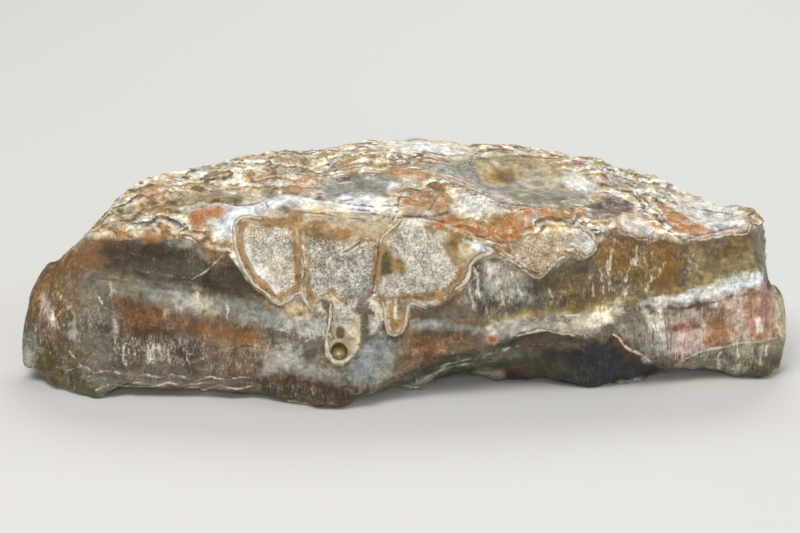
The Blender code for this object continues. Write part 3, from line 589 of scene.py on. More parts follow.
# Strokes: cream rims with a dark outer line, (width in pixels, line)
RIMS = (
    (2.3, ((262, 220), (250, 218.5), (241, 220), (236, 227), (236, 240), (239, 256), (246, 272), (256, 286),
           (268, 294), (275, 302), (281, 304), (289, 300), (296, 294), (301, 293), (305, 301), (312, 311))),
    (2.3, ((374, 298), (381, 300), (384.5, 309), (385, 322), (388, 332), (394, 335.5), (401, 332), (406, 324),
           (408, 312), (410, 304.5), (418, 305), (426, 308))),
    (3.2, ((492, 253), (479, 257), (471, 264), (468, 274), (463, 283), (455, 289))),
    (2.2, ((484, 247), (498, 254), (510, 261), (521, 268), (530, 275), (538, 277), (545, 273), (554, 265),
           (565, 258))),
    (2.2, ((566, 226), (575, 227), (584, 230), (593, 237), (596, 247), (590, 256), (583, 257), (576, 250))),
    (2.6, ((331, 303), (330, 318), (327, 333), (326, 347), (329, 357), (336, 363), (345, 362.5), (352, 356))),
    (2.2, ((518, 337), (530, 332.5), (541, 330.5), (556, 334), (574, 337.5))),
    (2.2, ((612, 334), (618, 338), (624, 345), (634, 350), (642, 353.5), (650, 360))),
    (2.4, ((378, 246), (384, 237), (394, 228), (400, 222))),
    (1.6, ((302, 258), (303.5, 268), (302.5, 278))),
    (1.6, ((690, 241.5), (704, 240.5), (722, 237.3), (744, 234.5), (749, 230), (746, 221))),
    (1.4, ((300.5, 280), (303, 290), (307, 302), (314, 309))),
    (1.3, ((316, 191), (332, 181), (358, 178), (392, 175.5))),
    (1.5, ((441, 179), (465, 188.5), (489, 198.5), (516, 209.5))),
    (1.3, ((393, 168), (410, 164), (425, 162), (441, 165), (457, 168.5), (467, 167), (472, 160))),
    (1.0, ((614, 219), (622, 230), (634, 238), (648, 238.5), (653, 234))),
    (1.4, ((550, 221), (562, 221), (574, 223.5), (584, 229))),
    (1.0, ((322, 182), (331, 173.5), (343, 171.5), (352, 169), (361, 168))),
)
# Brown walls inside the rims
WALLS = (
    (3.6, ((251, 223), (244, 228), (241.5, 240), (245, 254), (252, 269), (261, 280), (268, 286), (274, 294),
           (281, 299), (288, 295), (294, 289), (298, 284))),
    (4.0, ((249, 222.5), (262, 224.5), (276, 223.5), (288, 221), (293, 214), (301, 216))),
    (3.4, ((296, 228), (298, 240), (299, 254), (298, 268), (297, 282))),
    (3.0, ((304, 232), (306, 246), (309, 258), (308, 270), (306, 282), (309, 292), (314, 300), (320, 297),
           (328, 291), (333, 292), (338, 299), (346, 303))),
    (2.6, ((400, 226), (392, 232), (386, 240), (382, 252), (380, 266), (378, 280), (375, 292))),
    (2.4, ((405, 300), (414, 297), (430, 298), (446, 296))),
    (2.4, ((470, 262), (466, 270), (461, 280), (452, 286))),
    (2.2, ((486, 246), (500, 249), (514, 258), (530, 267), (538, 271), (546, 266))),
    (1.8, ((333, 308), (334, 322), (331, 334), (331, 346))),
)
# Dark thin lines: cracks and seams, and the last one a line of painted shade along the lip's edge
CRACKS = (
    (1.1, ((400, 190), (398.5, 205), (396, 214), (391, 223), (382, 234), (378.5, 246), (377, 262), (375, 276),
           (373.5, 286))),
    (2.2, ((374.5, 284), (373.5, 288), (372.5, 292))),
    (0.9, ((343, 253), (350, 249), (361, 243))),
    (1.0, ((176, 223), (180, 214), (190, 210), (203, 208.5), (217, 202.5), (239, 207), (254, 205.5),
           (268, 199.5), (283, 195), (305, 198), (330, 203), (366, 207), (398, 207))),
    (0.9, ((169, 200), (173, 193), (179, 187.7), (188, 188.4), (203, 191.3), (217, 192.8), (232, 190))),
    (0.8, ((180, 191), (192, 191.5), (204, 194), (218, 195))),
    (0.9, ((129, 224), (138, 215), (146, 206))),
    (0.9, ((58, 302), (56, 318), (58, 332), (64, 344))),
    (0.8, ((44, 330), (48, 344), (54, 356), (64, 366))),
    (1.1, ((520, 211), (535, 219), (563, 221), (599, 220), (620, 217))),
    (1.2, ((634, 188), (637, 199), (645, 210), (658, 222), (670, 233), (684, 242))),
    (1.0, ((684, 241), (704, 236), (722, 231), (738, 226))),
    (0.9, ((424, 216), (432, 208), (438, 200))),
    (1.0, ((398, 219), (420, 217), (446, 214))),
    (0.9, ((122, 224), (134, 222), (142, 212), (158, 206), (176, 204))),
    (0.8, ((324, 206), (346, 210), (370, 212), (398, 213))),
    (0.8, ((300, 213), (330, 216), (366, 222), (382, 224))),
    (0.8, ((318, 199), (332, 202), (360, 200), (392, 196))),
    (0.8, ((386, 152), (404, 156), (424, 153), (446, 157), (466, 156))),
    (0.8, ((446, 184), (468, 193), (490, 203), (512, 211))),
    (0.9, ((403, 216), (417, 217.5), (430, 217), (450, 213.5))),
    (0.8, ((556, 186), (572, 192), (590, 198))),
    (0.8, ((640, 198), (650, 208), (664, 222), (676, 231))),
    (1.0, ((266, 204), (268, 209), (262, 213))),
    (0.8, ((400, 232), (403, 244), (410, 250), (423, 268), (424, 278))),
    (0.9, ((474, 236), (500, 244), (522, 240))),
    (0.9, ((232, 350), (246, 346), (262, 349))),
    (0.8, ((640, 309.5), (660, 309.5), (681, 308.5), (706, 303.5), (731, 298.5), (752, 293))),
    (0.8, ((690, 236), (706, 235), (722, 231.5), (742, 228))),
    (1.0, ((100, 377), (120, 376), (144, 380), (170, 379), (200, 381), (240, 380))),
    (1.0, ((110, 388), (150, 388), (176, 387), (205, 385), (240, 387))),
    (0.9, ((200, 392), (230, 392), (256, 390))),
    (0.8, ((402, 216), (440, 222), (486, 240), (500, 246))),
    (0.8, ((470, 196), (510, 206), (560, 210), (600, 208))),
    (0.8, ((640, 196), (680, 206), (720, 214), (750, 218))),
    # Painted shade: a dark line along the lip's edge, where the face turns under into shadow
    (1.1, ((262, 379), (277, 375.5), (309, 378), (345, 386), (368, 391))),
)
# White threads
THREADS = (
    (1.4, ((84, 380), (96, 373), (112, 371), (130, 375))),
    (1.0, ((188, 283), (196, 276), (213, 265), (226, 251))),
    (1.2, ((678, 363), (706, 350), (757, 341), (786, 335.5))),
    (0.9, ((130, 378), (144, 374), (158, 377), (174, 375), (190, 379))),
    (1.0, ((98, 297), (104, 306), (110, 320), (115, 336), (121, 352), (127, 366))),
    (1.2, ((59, 316), (63, 309), (72, 305.5), (84, 306.5), (94, 314), (103, 328))),
    (0.9, ((33, 342), (36, 328), (40, 316), (44, 306))),
    (0.9, ((64, 374), (74, 368), (86, 367), (94, 373))),
    (0.8, ((70, 352), (78, 362), (80, 370))),
    (0.9, ((96, 390), (110, 385), (122, 386), (136, 382), (152, 386), (168, 383), (184, 386), (204, 382))),
    (1.0, ((150, 391), (164, 388), (178, 391), (190, 387), (204, 390), (218, 385), (236, 389), (256, 386))),
    (0.8, ((196, 381), (210, 377), (226, 380), (240, 377), (256, 379))),
    (0.8, ((440, 368), (470, 358), (520, 349), (560, 347))),
    (0.7, ((420, 380), (450, 368), (490, 360))),
    (0.8, ((112, 268), (150, 272), (190, 278))),
    (0.8, ((330, 203), (360, 202), (396, 206))),
    (0.8, ((310, 190), (350, 184), (396, 184))),
    (1.0, ((300, 208), (330, 213), (372, 214), (398, 219))),
    (1.2, ((560, 204), (590, 198), (630, 196), (660, 200))),
    (1.0, ((536, 172), (566, 180), (590, 192))),
    (1.2, ((538, 316), (560, 314), (580, 315))),
    (0.9, ((424, 171), (450, 174), (476, 186), (500, 199))),
    (0.8, ((432, 176), (454, 180), (476, 190))),
    (0.9, ((638, 190), (643, 200), (653, 210), (665, 222), (677, 232))),
    (0.9, ((560, 160), (590, 168), (612, 180))),
    (1.0, ((164, 212), (182, 212), (200, 206), (216, 205))),
)
# Pale upright streaks, mostly in the golden band
STREAKS = (
    (2.0, ((607, 262), (609, 276), (611, 290))),
    (1.4, ((600, 270), (602, 284), (603, 294))),
    (2.4, ((624, 278), (625, 286), (624, 297))),
    (1.6, ((631, 260), (629, 268), (626, 276))),
    (2.2, ((650, 276), (649, 284), (646, 292))),
    (1.4, ((664, 262), (660, 270), (656, 278))),
    (1.6, ((688, 256), (691, 262), (696, 266))),
    (1.2, ((590, 276), (592, 286), (593, 296))),
    (1.4, ((642, 248), (645, 260), (648, 268))),
    (1.2, ((506, 298), (500, 306), (494, 312))),
    (1.2, ((548, 288), (552, 296), (550, 304))),
    (1.6, ((112, 318), (114, 326), (116, 332))),
    (1.4, ((124, 344), (123, 352), (124, 360))),
    (1.4, ((150, 342), (152, 350), (151, 358))),
    (1.2, ((168, 346), (167, 354), (170, 362))),
    (1.4, ((186, 344), (188, 352), (187, 360))),
    (2.0, ((42, 298), (49, 304), (55, 316), (58, 330))),
    (2.0, ((735, 298), (737, 310), (736, 322))),
    (1.2, ((58, 292), (64, 300), (70, 312))),
    (1.4, ((758, 318), (757, 326), (757, 332))),
    (1.4, ((706, 324), (700, 334), (696, 344))),
    (3.0, ((612, 250), (610, 262), (608, 272))),
    (2.6, ((636, 246), (636, 256), (634, 264))),
    (3.4, ((474, 268), (478, 280), (476, 292))),
    (3.0, ((488, 262), (494, 274), (500, 284))),
    (2.4, ((470, 290), (472, 300), (474, 308))),
    (2.6, ((510, 272), (516, 284), (522, 296))),
    (3.0, ((716, 288), (718, 296), (716, 304))),
    (3.4, ((658, 320), (662, 334), (664, 350))),
    (2.6, ((738, 338), (736, 346), (738, 356))),
    (2.6, ((762, 346), (762, 354), (760, 364))),
    (2.4, ((720, 352), (718, 360), (720, 368))),
    (3.0, ((774, 300), (778, 314), (778, 328))),
    (2.6, ((46, 304), (52, 316), (60, 328))),
    (2.0, ((70, 306), (76, 316), (74, 328))),
    (2.4, ((196, 292), (198, 300), (197, 308))),
    (2.4, ((226, 302), (228, 310), (226, 318))),
    (2.4, ((110, 282), (112, 290), (110, 297))),
)

# Discs round the middles of hollows: (colour, strength, hollow, where it starts and is full)
DISCS = (
    ("ochre", 0.85, DISH_SPOT, 1.2, 0.4),
    ("sepia", 0.7, DISH_SPOT, 0.7, 0.1),
    ("cream", 1.0, EYE_TUBE, 1.65, 1.35),
    ("sepia", 1.0, EYE_TUBE, 1.15, 1.0),
    ("tallow", 1.0, EYE_TUBE, 0.85, 0.3),
    ("bone", 0.7, EYE_TUBE, 0.3, 0.1),
    ("cream", 0.7, SMALL_EYE, 1.9, 1.3),
    ("sepia", 0.9, SMALL_EYE, 1.25, 0.8),
)

STROKES = {"rim": RIMS, "wall": WALLS, "crack": CRACKS, "thread": THREADS, "streak": STREAKS}

# The line that the level bands follow across the near side, as columns and rows
BED_LINE = (
    (20, 252), (60, 262), (98, 272), (143, 281), (194, 289), (268, 301), (338, 321), (400, 326), (484, 318),
    (543, 309), (604, 301), (655, 291), (706, 279), (766, 270), (790, 268),
)

# The material's noises: (width of their lumps in mm, stretch, detail, roughness, distortion)
NOISES = {
    "crumbs": (0.9, ROUND, 6, 0.75, 0),
    "fold ripple": (1.4, ROUND, 4, 0.55, 0),
    "layers": (5, ROUND, 4, 0.6, 0),
    "seam stretches": (3.5, ROUND, 3, 0.55, 0),
    "clots": (1.5, (1.7, 1, 1), 7, 0.75, 0.5),
    "clusters": (6, ROUND, 5, 0.6, 0),
    "stains": (5, (1.8, 1, 1), 6, 0.7, 0),
    "tufts": (6, ROUND, 5, 0.6, 0),
    "bunches": (3, ROUND, 5, 0.7, 0),
    "grain": (0.75, ROUND, 7, 0.85, 0.4),
    "curls": (1.1, ROUND, 4, 0.65, 1.6),
    "speckle": (0.8, ROUND, 8, 0.95, 0),
    "clouds": (2.0, ROUND, 8, 0.8, 0),
    "scattered rust": (1.5, (1, 1, 1.8), 8, 0.9, 0),
    "deep rust": (0.6, ROUND, 5, 0.8, 0),
    "shaky edges": (1.1, ROUND, 6, 0.75, 0),
    "swollen edges": (5, ROUND, 3, 0.55, 0),
    "browns": (2.5, ROUND, 4, 0.55, 0),
    "pales": (1.2, ROUND, 4, 0.55, 0),
}
# The same, but along and across the level bands
BEDDED_NOISES = {
    "upright": (0.5, (1, 1, 7), 6, 0.75, 0),
    "fibres": (0.42, (1, 1, 9), 5, 0.7, 0),
    "flecks": (0.42, (1, 1, 3.2), 6, 0.85, 0),
    "shades": (0.55, (1, 1, 10), 5, 0.7, 0),
    "levels": (1.4, (7, 7, 1), 7, 0.75, 0.3),
}
# The values at which a noise's mask starts and is full
MASKS = {
    "seam stretches": (0.45, 0.60),
    "clusters": (0.44, 0.56),
    "tufts": (0.40, 0.62),
    "bunches": (0.42, 0.58),
    "clouds": (0.32, 0.68),
    "pales": (0.42, 0.58),
}
# What is laid over the patches: (colour, strength, the values at which it starts and is full).
# Those without a colour get one that varies
COVERS = {
    "layers": (None, 0.8, 0.34, 0.48),
    "seams": ("smoke", 0.7, 0.09, 0.02),
    "crust": ("chalk", 1.0, 0.52, 0.58),
    "hollows": ("smoke", 0.8, 0.43, 0.37),
    "stains": ("copper", 0.42, 0.52, 0.64),
    "fibres": ("pearl", 0.6, 0.53, 0.64),
    "flecks": ("bone", 0.75, 0.52, 0.58),
    "shades": ("umber", 0.6, 0.48, 0.38),
    "pale levels": ("cream", 0.3, 0.53, 0.68),
    "deep levels": ("umber", 0.4, 0.46, 0.34),
    "streaks": ("bone", 0.7, 0.9, -1.4),
    "crystals": ("bone", 0.8, 0.02, 0.07),
    "crystal gaps": ("drab", 0.65, 0.026, 0.004),
    "crystal pits": ("smoke", 0.7, 0.44, 0.37),
    "dark specks": ("umber", 0.5, 0.46, 0.38),
    # pale specks: partly the stone's own flecks, partly painted glints on its sugary skin
    "pale specks and glints": ("bone", 0.45, 0.54, 0.61),
    "rust": (None, 0.85, 2.25, 2.5),
    "walls": (None, 0.85, 0.7, -0.6),
    "rim shadows": ("bark", 0.6, 1.6, 0.7),
    "rims": (None, 0.92, 0.5, -0.4),
    "threads": ("bone", 0.7, 0.8, -0.6),
    "cracks": ("bark", 0.8, 0.9, -0.3),
}
# Colours over one turn of the rind's layers, over the depth of the rust, and of the tubes' walls
LAYER_STOPS = (
    (0.00, "umber"), (0.03, "bone"), (0.12, "chalk"), (0.20, "cream"), (0.25, "tan"), (0.30, "bone"),
    (0.38, "pearl"), (0.44, "smoke"), (0.46, "chalk"), (0.56, "cream"), (0.64, "tallow"), (0.70, "bone"),
    (0.76, "bark"), (0.79, "chalk"), (0.90, "cream"), (1.00, "umber"),
)
RUST_STOPS = ((0.0, "cream"), (0.18, "peach"), (0.32, "rust"), (0.60, "rust"), (0.78, "blood"), (1.0, "bark"))
WALL_STOPS = ((0.34, "bark"), (0.42, "ochre"), (0.50, "tan"), (0.66, "cream"))

CALMING = 0.75  # how much of the fibres and specks the calm patches take away
FEATHER_EDGES = (0.46, 0.54)
FOLD_RIPPLE = 0.7  # layers
LAYER_TURNS = 0.21  # turns of the colours per layer
SEAM_TURNS = 1.1  # seams per layer
LEAST_BUNCHED = 0.45  # how much of the flecks lies outside the bunches
STREAK_FEATHER = 16.0  # pixels
UNSPECKED = 0.45  # how much of the specks the bands take away
CLOUD_LIGHT = (0.55, 0.9)  # the least light and how much the clouds add
SATURATION = 1.06
BRIGHTNESS = 1.08
DEPTH = 1.18  # above 1 darkens the dark colours more than the light ones
RIND_BRIGHTNESS = 0.30  # what the rind adds to both
RIND_DEPTH = 0.45
RUST_STAIN = 0.5
RUST_SCATTER = 2.6  # how much the noises count against the patches
RUST_DEPTHS = (3.0, 4.5)
EDGE_SHAKE = (0.5, 5.0)  # the noise's middle, and how many pixels it moves the edges of strokes
EDGE_SWELL = (0.45, 4.5)
WALL_SWELL = 0.5  # the share of that swell that walls and rims take
RIM_SWELL = 0.3
MATT = 0.62  # the rind's roughness
BANDED_SHINE = 0.32
SPECKLE_SHINE = (0.5, 0.3)
BUMP_GRAIN = 0.5
BUMP_SPECKLE = 0.8
BANDED_SMOOTHNESS = 0.5
BUMP_STRENGTH = 0.7
BUMP_HEIGHT = 0.3 * MM
GLOW = 0.12  # how much light goes through the stone's skin
GLOW_REACH = (1.0, 0.7, 0.45)  # in red, green and blue
GLOW_DEPTH = 1.2 * MM


def srgb(name):
    """The colour of that name as linear red, green and blue."""
    value = np.array(COLOURS[name]) / 255
    return np.where(value <= 0.04045, value / 12.92, ((value + 0.055) / 1.055) ** 2.4)


def rgba(name):
    return (*srgb(name), 1.0)


def smoothstep(start, full, value):
    t = np.clip((value - start) / (full - start), 0, 1)
    return t * t * (3 - 2 * t)


def view_axes():
    """The view's directions: to the right, up in the picture, and forward."""
    right = np.array((1.0, 0.0, 0.0))
    up = np.array((0.0, math.sin(LOOK_DOWN), math.cos(LOOK_DOWN)))
    forward = np.array((0.0, math.cos(LOOK_DOWN), -math.sin(LOOK_DOWN)))
    return right, up, forward


def picture_place(places):
    """The picture columns and rows that places are seen at."""
    right, up, forward = view_axes()
    offset = places - np.array(EYE)
    scale = FOCAL_PIXELS / (offset @ forward)
    return MIDDLE[0] + scale * (offset @ right), MIDDLE[1] - scale * (offset @ up)


def facing_camera(places, normals):
    """How much each place faces the camera: 1 straight at it, and negative where it looks away."""
    to_eye = np.array(EYE) - places
    to_eye /= np.linalg.norm(to_eye, axis=1)[:, None]
    return np.einsum("ij,ij->i", normals, to_eye)


# Fields over the mesh


def field(places, name, lift=0.0):
    """The rough field of that name at every place, from about -1 to 1."""
    size, octaves, stretch, shift = FIELDS[name]
    scaled = places / (np.array(stretch) * size * MM) + (shift + lift)
    return np.array([noise.fractal(Vector(p), *FRACTAL, octaves) for p in scaled])


def fold_field(places):
    """The number of the rind's layer at each place."""
    climb = (places[:, 1] * LAYER_LEAN + places[:, 2]) / (LAYER_PITCH * MM)
    return climb + FOLD_SWELL * field(places, "fold swell") + FOLD_CRUMPLE * field(places, "fold crumple")


def curve_through(points, steps=4):
    """A smooth line through the points."""
    p = np.array(points, float)
    p = np.vstack([2 * p[0] - p[1], p, 2 * p[-1] - p[-2]])
    line = []
    for a, b, c, d in zip(p, p[1:], p[2:], p[3:]):
        for k in range(steps):
            t = k / steps
            line.append(0.5 * (2 * b + (c - a) * t + (2 * a - 5 * b + 4 * c - d) * t**2
                               + (3 * b - a - 3 * c + d) * t**3))
    return np.array([*line, p[-2]])


def distance_to_line(at, line):
    """The distance in pixels from each point to a line of points."""
    nearest = np.full(len(at), np.inf)
    for a, b in zip(line, line[1:]):
        along = b - a
        t = np.clip(((at - a) @ along) / max(along @ along, 1e-9), 0, 1)
        gap = at - a - t[:, None] * along
        nearest = np.minimum(nearest, np.einsum("ij,ij->i", gap, gap))
    return np.sqrt(nearest)


def inside_of(at, outline):
    """How far each point lies inside an outline, in pixels; outside it is negative."""
    ring = np.array([*outline, outline[0]], float)
    within = np.zeros(len(at), bool)
    for (ax, ay), (bx, by) in zip(ring, ring[1:]):
        if ay == by:
            continue
        crosses = (at[:, 1] < ay) != (at[:, 1] < by)
        column = ax + (at[:, 1] - ay) / (by - ay) * (bx - ax)
        within ^= crosses & (at[:, 0] < column)
    away = distance_to_line(at, ring)
    return np.where(within, away, -away)


def close_to(at, points, margin=0):
    """Which points lie in the box of a shape, with a margin."""
    shape = np.array(points, float)
    return np.all((at > shape.min(0) - margin) & (at < shape.max(0) + margin), axis=1)


def ellipse(at, column, row, wide, high):
    """How far out a point lies in an ellipse: 0 in its middle and 1 on its edge."""
    return np.hypot((at[:, 0] - column) / wide, (at[:, 1] - row) / high)


class Markings:
    """The colours and weights of every vertex, which patches, discs and strokes change."""

    def __init__(self, places, normals, lift):
        self.places = places
        self.lift = lift
        column, row = picture_place(places)
        self.seen = np.column_stack([
            column + WANDER * field(places, "wander of columns", lift),
            row + WANDER * field(places, "wander of rows", lift),
        ])
        self.exact = np.column_stack([
            column + SHAKE * field(places, "shake of columns"),
            row + SHAKE * field(places, "shake of rows"),
        ])
        self.ragged = field(places, "ragged", lift) + FINE_SHARE * field(places, "finely ragged", lift)
        self.near = smoothstep(-SIGHT_EDGE, SIGHT_EDGE, facing_camera(places, normals))
        self.tint = np.zeros((len(places), 3))

    def lay(self, colour, weight):
        self.tint += (srgb(colour) - self.tint) * weight[:, None]

    def wash(self, washes, fields, where):
        for colour, strength, name, start, full in washes:
            self.lay(colour, where * strength * smoothstep(start, full, fields[name]))

    def patch(self, colour, softness, outline, where):
        chosen = close_to(self.seen, outline, PATCH_REACH * softness)
        at = self.seen[chosen] + (0, self.lift * min(1, softness / LIFT_SOFTNESS))
        inside = inside_of(at, outline) + RAGGED_SHARE * softness * self.ragged[chosen]
        edge = LEAST_EDGE + EDGE_SHARE * softness
        weight = np.zeros(len(self.seen))
        weight[chosen] = smoothstep(-edge, edge, inside)
        self.lay(colour, weight * where)

    def strongest(self, patches, start, full, ragged=0.0):
        """How strong the strongest patch is, where each goes from its start to full inside its outline."""
        most = np.zeros(len(self.seen))
        for strength, outline in patches:
            inside = inside_of(self.seen, outline) + ragged * self.ragged
            most = np.maximum(most, strength * smoothstep(start, full, inside))
        return most * self.near

    def stroke_field(self, strokes):
        """The distance outside the nearest of the strokes, in pixels; inside it is negative."""
        nearest = np.full(len(self.exact), STROKE_REACH)
        for width, points in strokes:
            chosen = close_to(self.exact, points, STROKE_REACH)
            away = distance_to_line(self.exact[chosen], curve_through(points)) - width / 2
            nearest[chosen] = np.minimum(nearest[chosen], away)
        nearest[self.near < 0.5] = STROKE_REACH
        return nearest


# The mesh


def fresh_object(name, data):
    made = bpy.data.objects.new(name, data)
    bpy.context.scene.collection.objects.link(made)
    return made


def refine(stone, chosen_faces):
    """Splits the chosen faces in four, and rounds off the corners that this leaves."""
    edges = {e for f in chosen_faces for e in f.edges}
    made = bmesh.ops.subdivide_edges(stone, edges=list(edges), cuts=1, use_grid_fill=True)
    corners = [g for g in made["geom_inner"] if isinstance(g, bmesh.types.BMVert)]
    bmesh.ops.smooth_vert(
        stone, verts=corners, factor=CORNER_ROUNDING, use_axis_x=True, use_axis_y=True, use_axis_z=True)


def fine_mesh():
    """A smooth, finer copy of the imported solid: finest round the tubes, coarsest below and behind."""
    rough = bmesh.new()
    rough.from_mesh(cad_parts["agate"].data)
    bmesh.ops.remove_doubles(rough, verts=rough.verts, dist=MERGE_GAP)
    bmesh.ops.join_triangles(
        rough, faces=rough.faces, angle_face_threshold=JOINED_FACES, angle_shape_threshold=JOINED_SHAPES)
    mesh = bpy.data.meshes.new("rough")
    rough.to_mesh(mesh)
    rough.free()
    holder = fresh_object("rough", mesh)
    smooth = holder.modifiers.new("smooth", "SUBSURF")
    smooth.levels = smooth.render_levels = 1
    evaluated = holder.evaluated_get(bpy.context.evaluated_depsgraph_get())
    stone = bmesh.new()
    stone.from_mesh(evaluated.to_mesh())
    bpy.data.objects.remove(holder)
    for level, least_facing in enumerate(SPLIT_FACING):
        stone.normal_update()
        centres = np.array([f.calc_center_median() for f in stone.faces])
        normals = np.array([f.normal for f in stone.faces])
        wanted = facing_camera(centres, normals) > least_facing
        if level > 0:
            wanted &= close_to(np.column_stack(picture_place(centres)), SPLIT_WINDOW)
        refine(stone, [f for f, chosen in zip(stone.faces, wanted) if chosen])
    fine = bpy.data.meshes.new("agate_stone")
    stone.to_mesh(fine)
    stone.free()
    return fine


def read_vectors(vectors, kind):
    flat = np.empty(len(vectors) * 3)
    vectors.foreach_get(kind, flat)
    return flat.reshape(-1, 3)


def keep(mesh, name, values, kind="FLOAT", part="value"):
    """Keeps a value of every vertex for the material."""
    layer = mesh.attributes.new(name, kind, "POINT")
    layer.data.foreach_set(part, np.asarray(values, np.float32).ravel())


def bedding(places):
    """Places by the level bands: along the stone, into it, and across the bands, in metres."""
    right, up, forward = view_axes()
    bed_columns, bed_rows = np.array(BED_LINE, float).T
    column, row = picture_place(places)
    across = places @ up + np.interp(column, bed_columns, bed_rows) * PIXEL
    return np.column_stack([places[:, 0], places[:, 1], across])


def paint(marks):
    """Lays down all colours, first those of the hidden sides, then those of the near side."""
    places = marks.places
    height = places[:, 2] / MM
    fields = {name: field(places, name) for name in ("cloudy", "patchy")}
    everywhere = np.ones(len(places))
    marks.lay("cream", everywhere)
    marks.wash(FAR_WASHES, fields, everywhere)
    climb = FAR_RIND_CLIMB * (height - FAR_RIND_LEVEL)
    far_rind = smoothstep(*FAR_RIND, fields["cloudy"] + climb + FAR_RIND_RAGGED * marks.ragged)
    for colour, level in FAR_BANDS:
        above = height + FAR_BAND_WANDER * fields["patchy"] - level
        marks.lay(colour, (1 - far_rind) * smoothstep(-FAR_BAND_EDGE, FAR_BAND_EDGE, above))
    for colour, softness, outline in FACE_PATCHES:
        marks.patch(colour, softness, outline, marks.near)
    rind = marks.strongest([(1, RIND_OUTLINE)], -RIND_EDGE, RIND_EDGE)
    marks.lay("bone", rind)
    marks.wash(RIND_WASHES, fields, rind)
    for colour, softness, outline in RIND_PATCHES:
        marks.patch(colour, softness, outline, rind)
    for colour, strength, hollow, start, full in DISCS:
        marks.lay(colour, strength * smoothstep(start, full, ellipse(marks.exact, *hollow)) * marks.near)
    marks.tint *= (1 + BRIGHT_SWING * field(places, "brightness"))[:, None]
    marks.tint *= 1 + WARM_SWING * field(places, "warmth")[:, None]
    return rind, rind + (1 - marks.near) * far_rind


def weights(marks, top):
    """How much of each kind of look every vertex has."""
    places = marks.places
    far = 1 - marks.near
    rust = np.zeros(len(places))
    for strength, softness, outline in RUST_PATCHES:
        start, full = np.array(RUST_EDGES) * softness
        rust = np.maximum(rust, marks.strongest([(strength, outline)], start, full))
    rust += far * smoothstep(*FAR_RUST, field(places, "far rust"))
    eyes = np.minimum(ellipse(marks.exact, *EYE_TUBE), ellipse(marks.exact, *SMALL_EYE))
    calm = np.maximum(marks.strongest(CALM_PATCHES, *CALM_EDGES), smoothstep(*EYE_EDGES, eyes) * marks.near)
    sugar = marks.strongest(SUGARY_PATCHES, *SUGARY_EDGES) * (1 - calm)
    tubes = marks.strongest([(1, TUBE_OUTLINE)], -TUBE_EDGE, TUBE_EDGE)
    far_flecks = FAR_FLECKS_STRENGTH * far * smoothstep(*FAR_FLECKS, field(places, "far flecks"))
    return {
        "layered": np.clip(top - sugar - TUBE_CALM * tubes - calm, 0, 1),
        "banded": np.clip(1 - top, 0, 1),
        "calm": calm,
        "flecked": np.maximum(marks.strongest(FLECKED_PATCHES, *FLECKED_EDGES, FLECKED_RAGGED), far_flecks),
        "sugar": sugar,
        "rust": rust,
    }


def facets(places, size, steep, seed):
    """Small flat breaks at odd angles, in mm, with creases where they meet."""
    chance = np.random.default_rng(seed)
    low, high = places.min(0), places.max(0)
    count = int(np.prod((high - low) / (size * MM)))
    centres = chance.uniform(low, high, (count, 3))
    tilts = chance.normal(0, steep, (count, 3))
    tree = KDTree(count)
    for k, centre in enumerate(centres):
        tree.insert(centre, k)
    tree.balance()
    heights = np.empty(len(places))
    for k, place in enumerate(places):
        found = tree.find_n(place, FACET_NEIGHBOURS)
        near = np.array([index for _, index, _ in found])
        away = np.array([distance for _, _, distance in found]) / (size * MM)
        share = np.exp(-FACET_SHARPNESS * (away - away[0]))
        planes = np.einsum("ij,ij->i", tilts[near], place - centres[near]) / MM
        heights[k] = (share * planes).sum() / share.sum()
    return np.clip(heights, -steep * size, steep * size)


def ridge(away, height, inset, flank):
    """A ridge along strokes: level to within the inset of their edge, and falling off over its flank."""
    return height * np.exp(-((np.clip(away + inset, 0, None) / flank) ** 2))


def small_relief(marks, rind, top, kept):
    """How far every vertex moves outwards, in mm."""
    places = marks.places
    layered, sugar = kept["layered"], kept["sugar"]
    riser = smoothstep(0, LAYER_RISER, kept["fold"] - np.floor(kept["fold"]))
    relief = layered * (RIND_LUMPS * field(places, "rind lumps") + LAYER_STEP * riser)
    relief += (layered + SMOOTH_GRAIN * top) * RIND_GRAIN * field(places, "rind grain")
    relief += sugar * (SUGAR_GRAIN * field(places, "sugar grain") - SUGAR_DEPTH)
    relief += (1 - top) * BAND_RIPPLE * field(places, "band ripple")
    broken = np.clip(1 - top - FACETS_LOST * marks.near, 0, 1)
    for size, steep, seed in FACETS:
        relief += broken * facets(places, size, steep, seed)
    relief += RIND_HEIGHT * rind
    relief += ridge(kept["rim"], *RIM_RIDGE) + ridge(kept["crack"], *CRACK_GROOVE)
    relief -= EYE_DEPTH * smoothstep(*EYE_WALL, ellipse(marks.exact, *EYE_TUBE)) * marks.near
    relief[places[:, 2] < FLOOR_BAND * MM] = 0
    # The loft closes to a point at each end, which relief would pull out into a spike
    along = places[:, 0]
    from_tip = np.minimum(along - along.min(), along.max() - along)
    return relief * smoothstep(0, TIP_LENGTH * MM, from_tip)


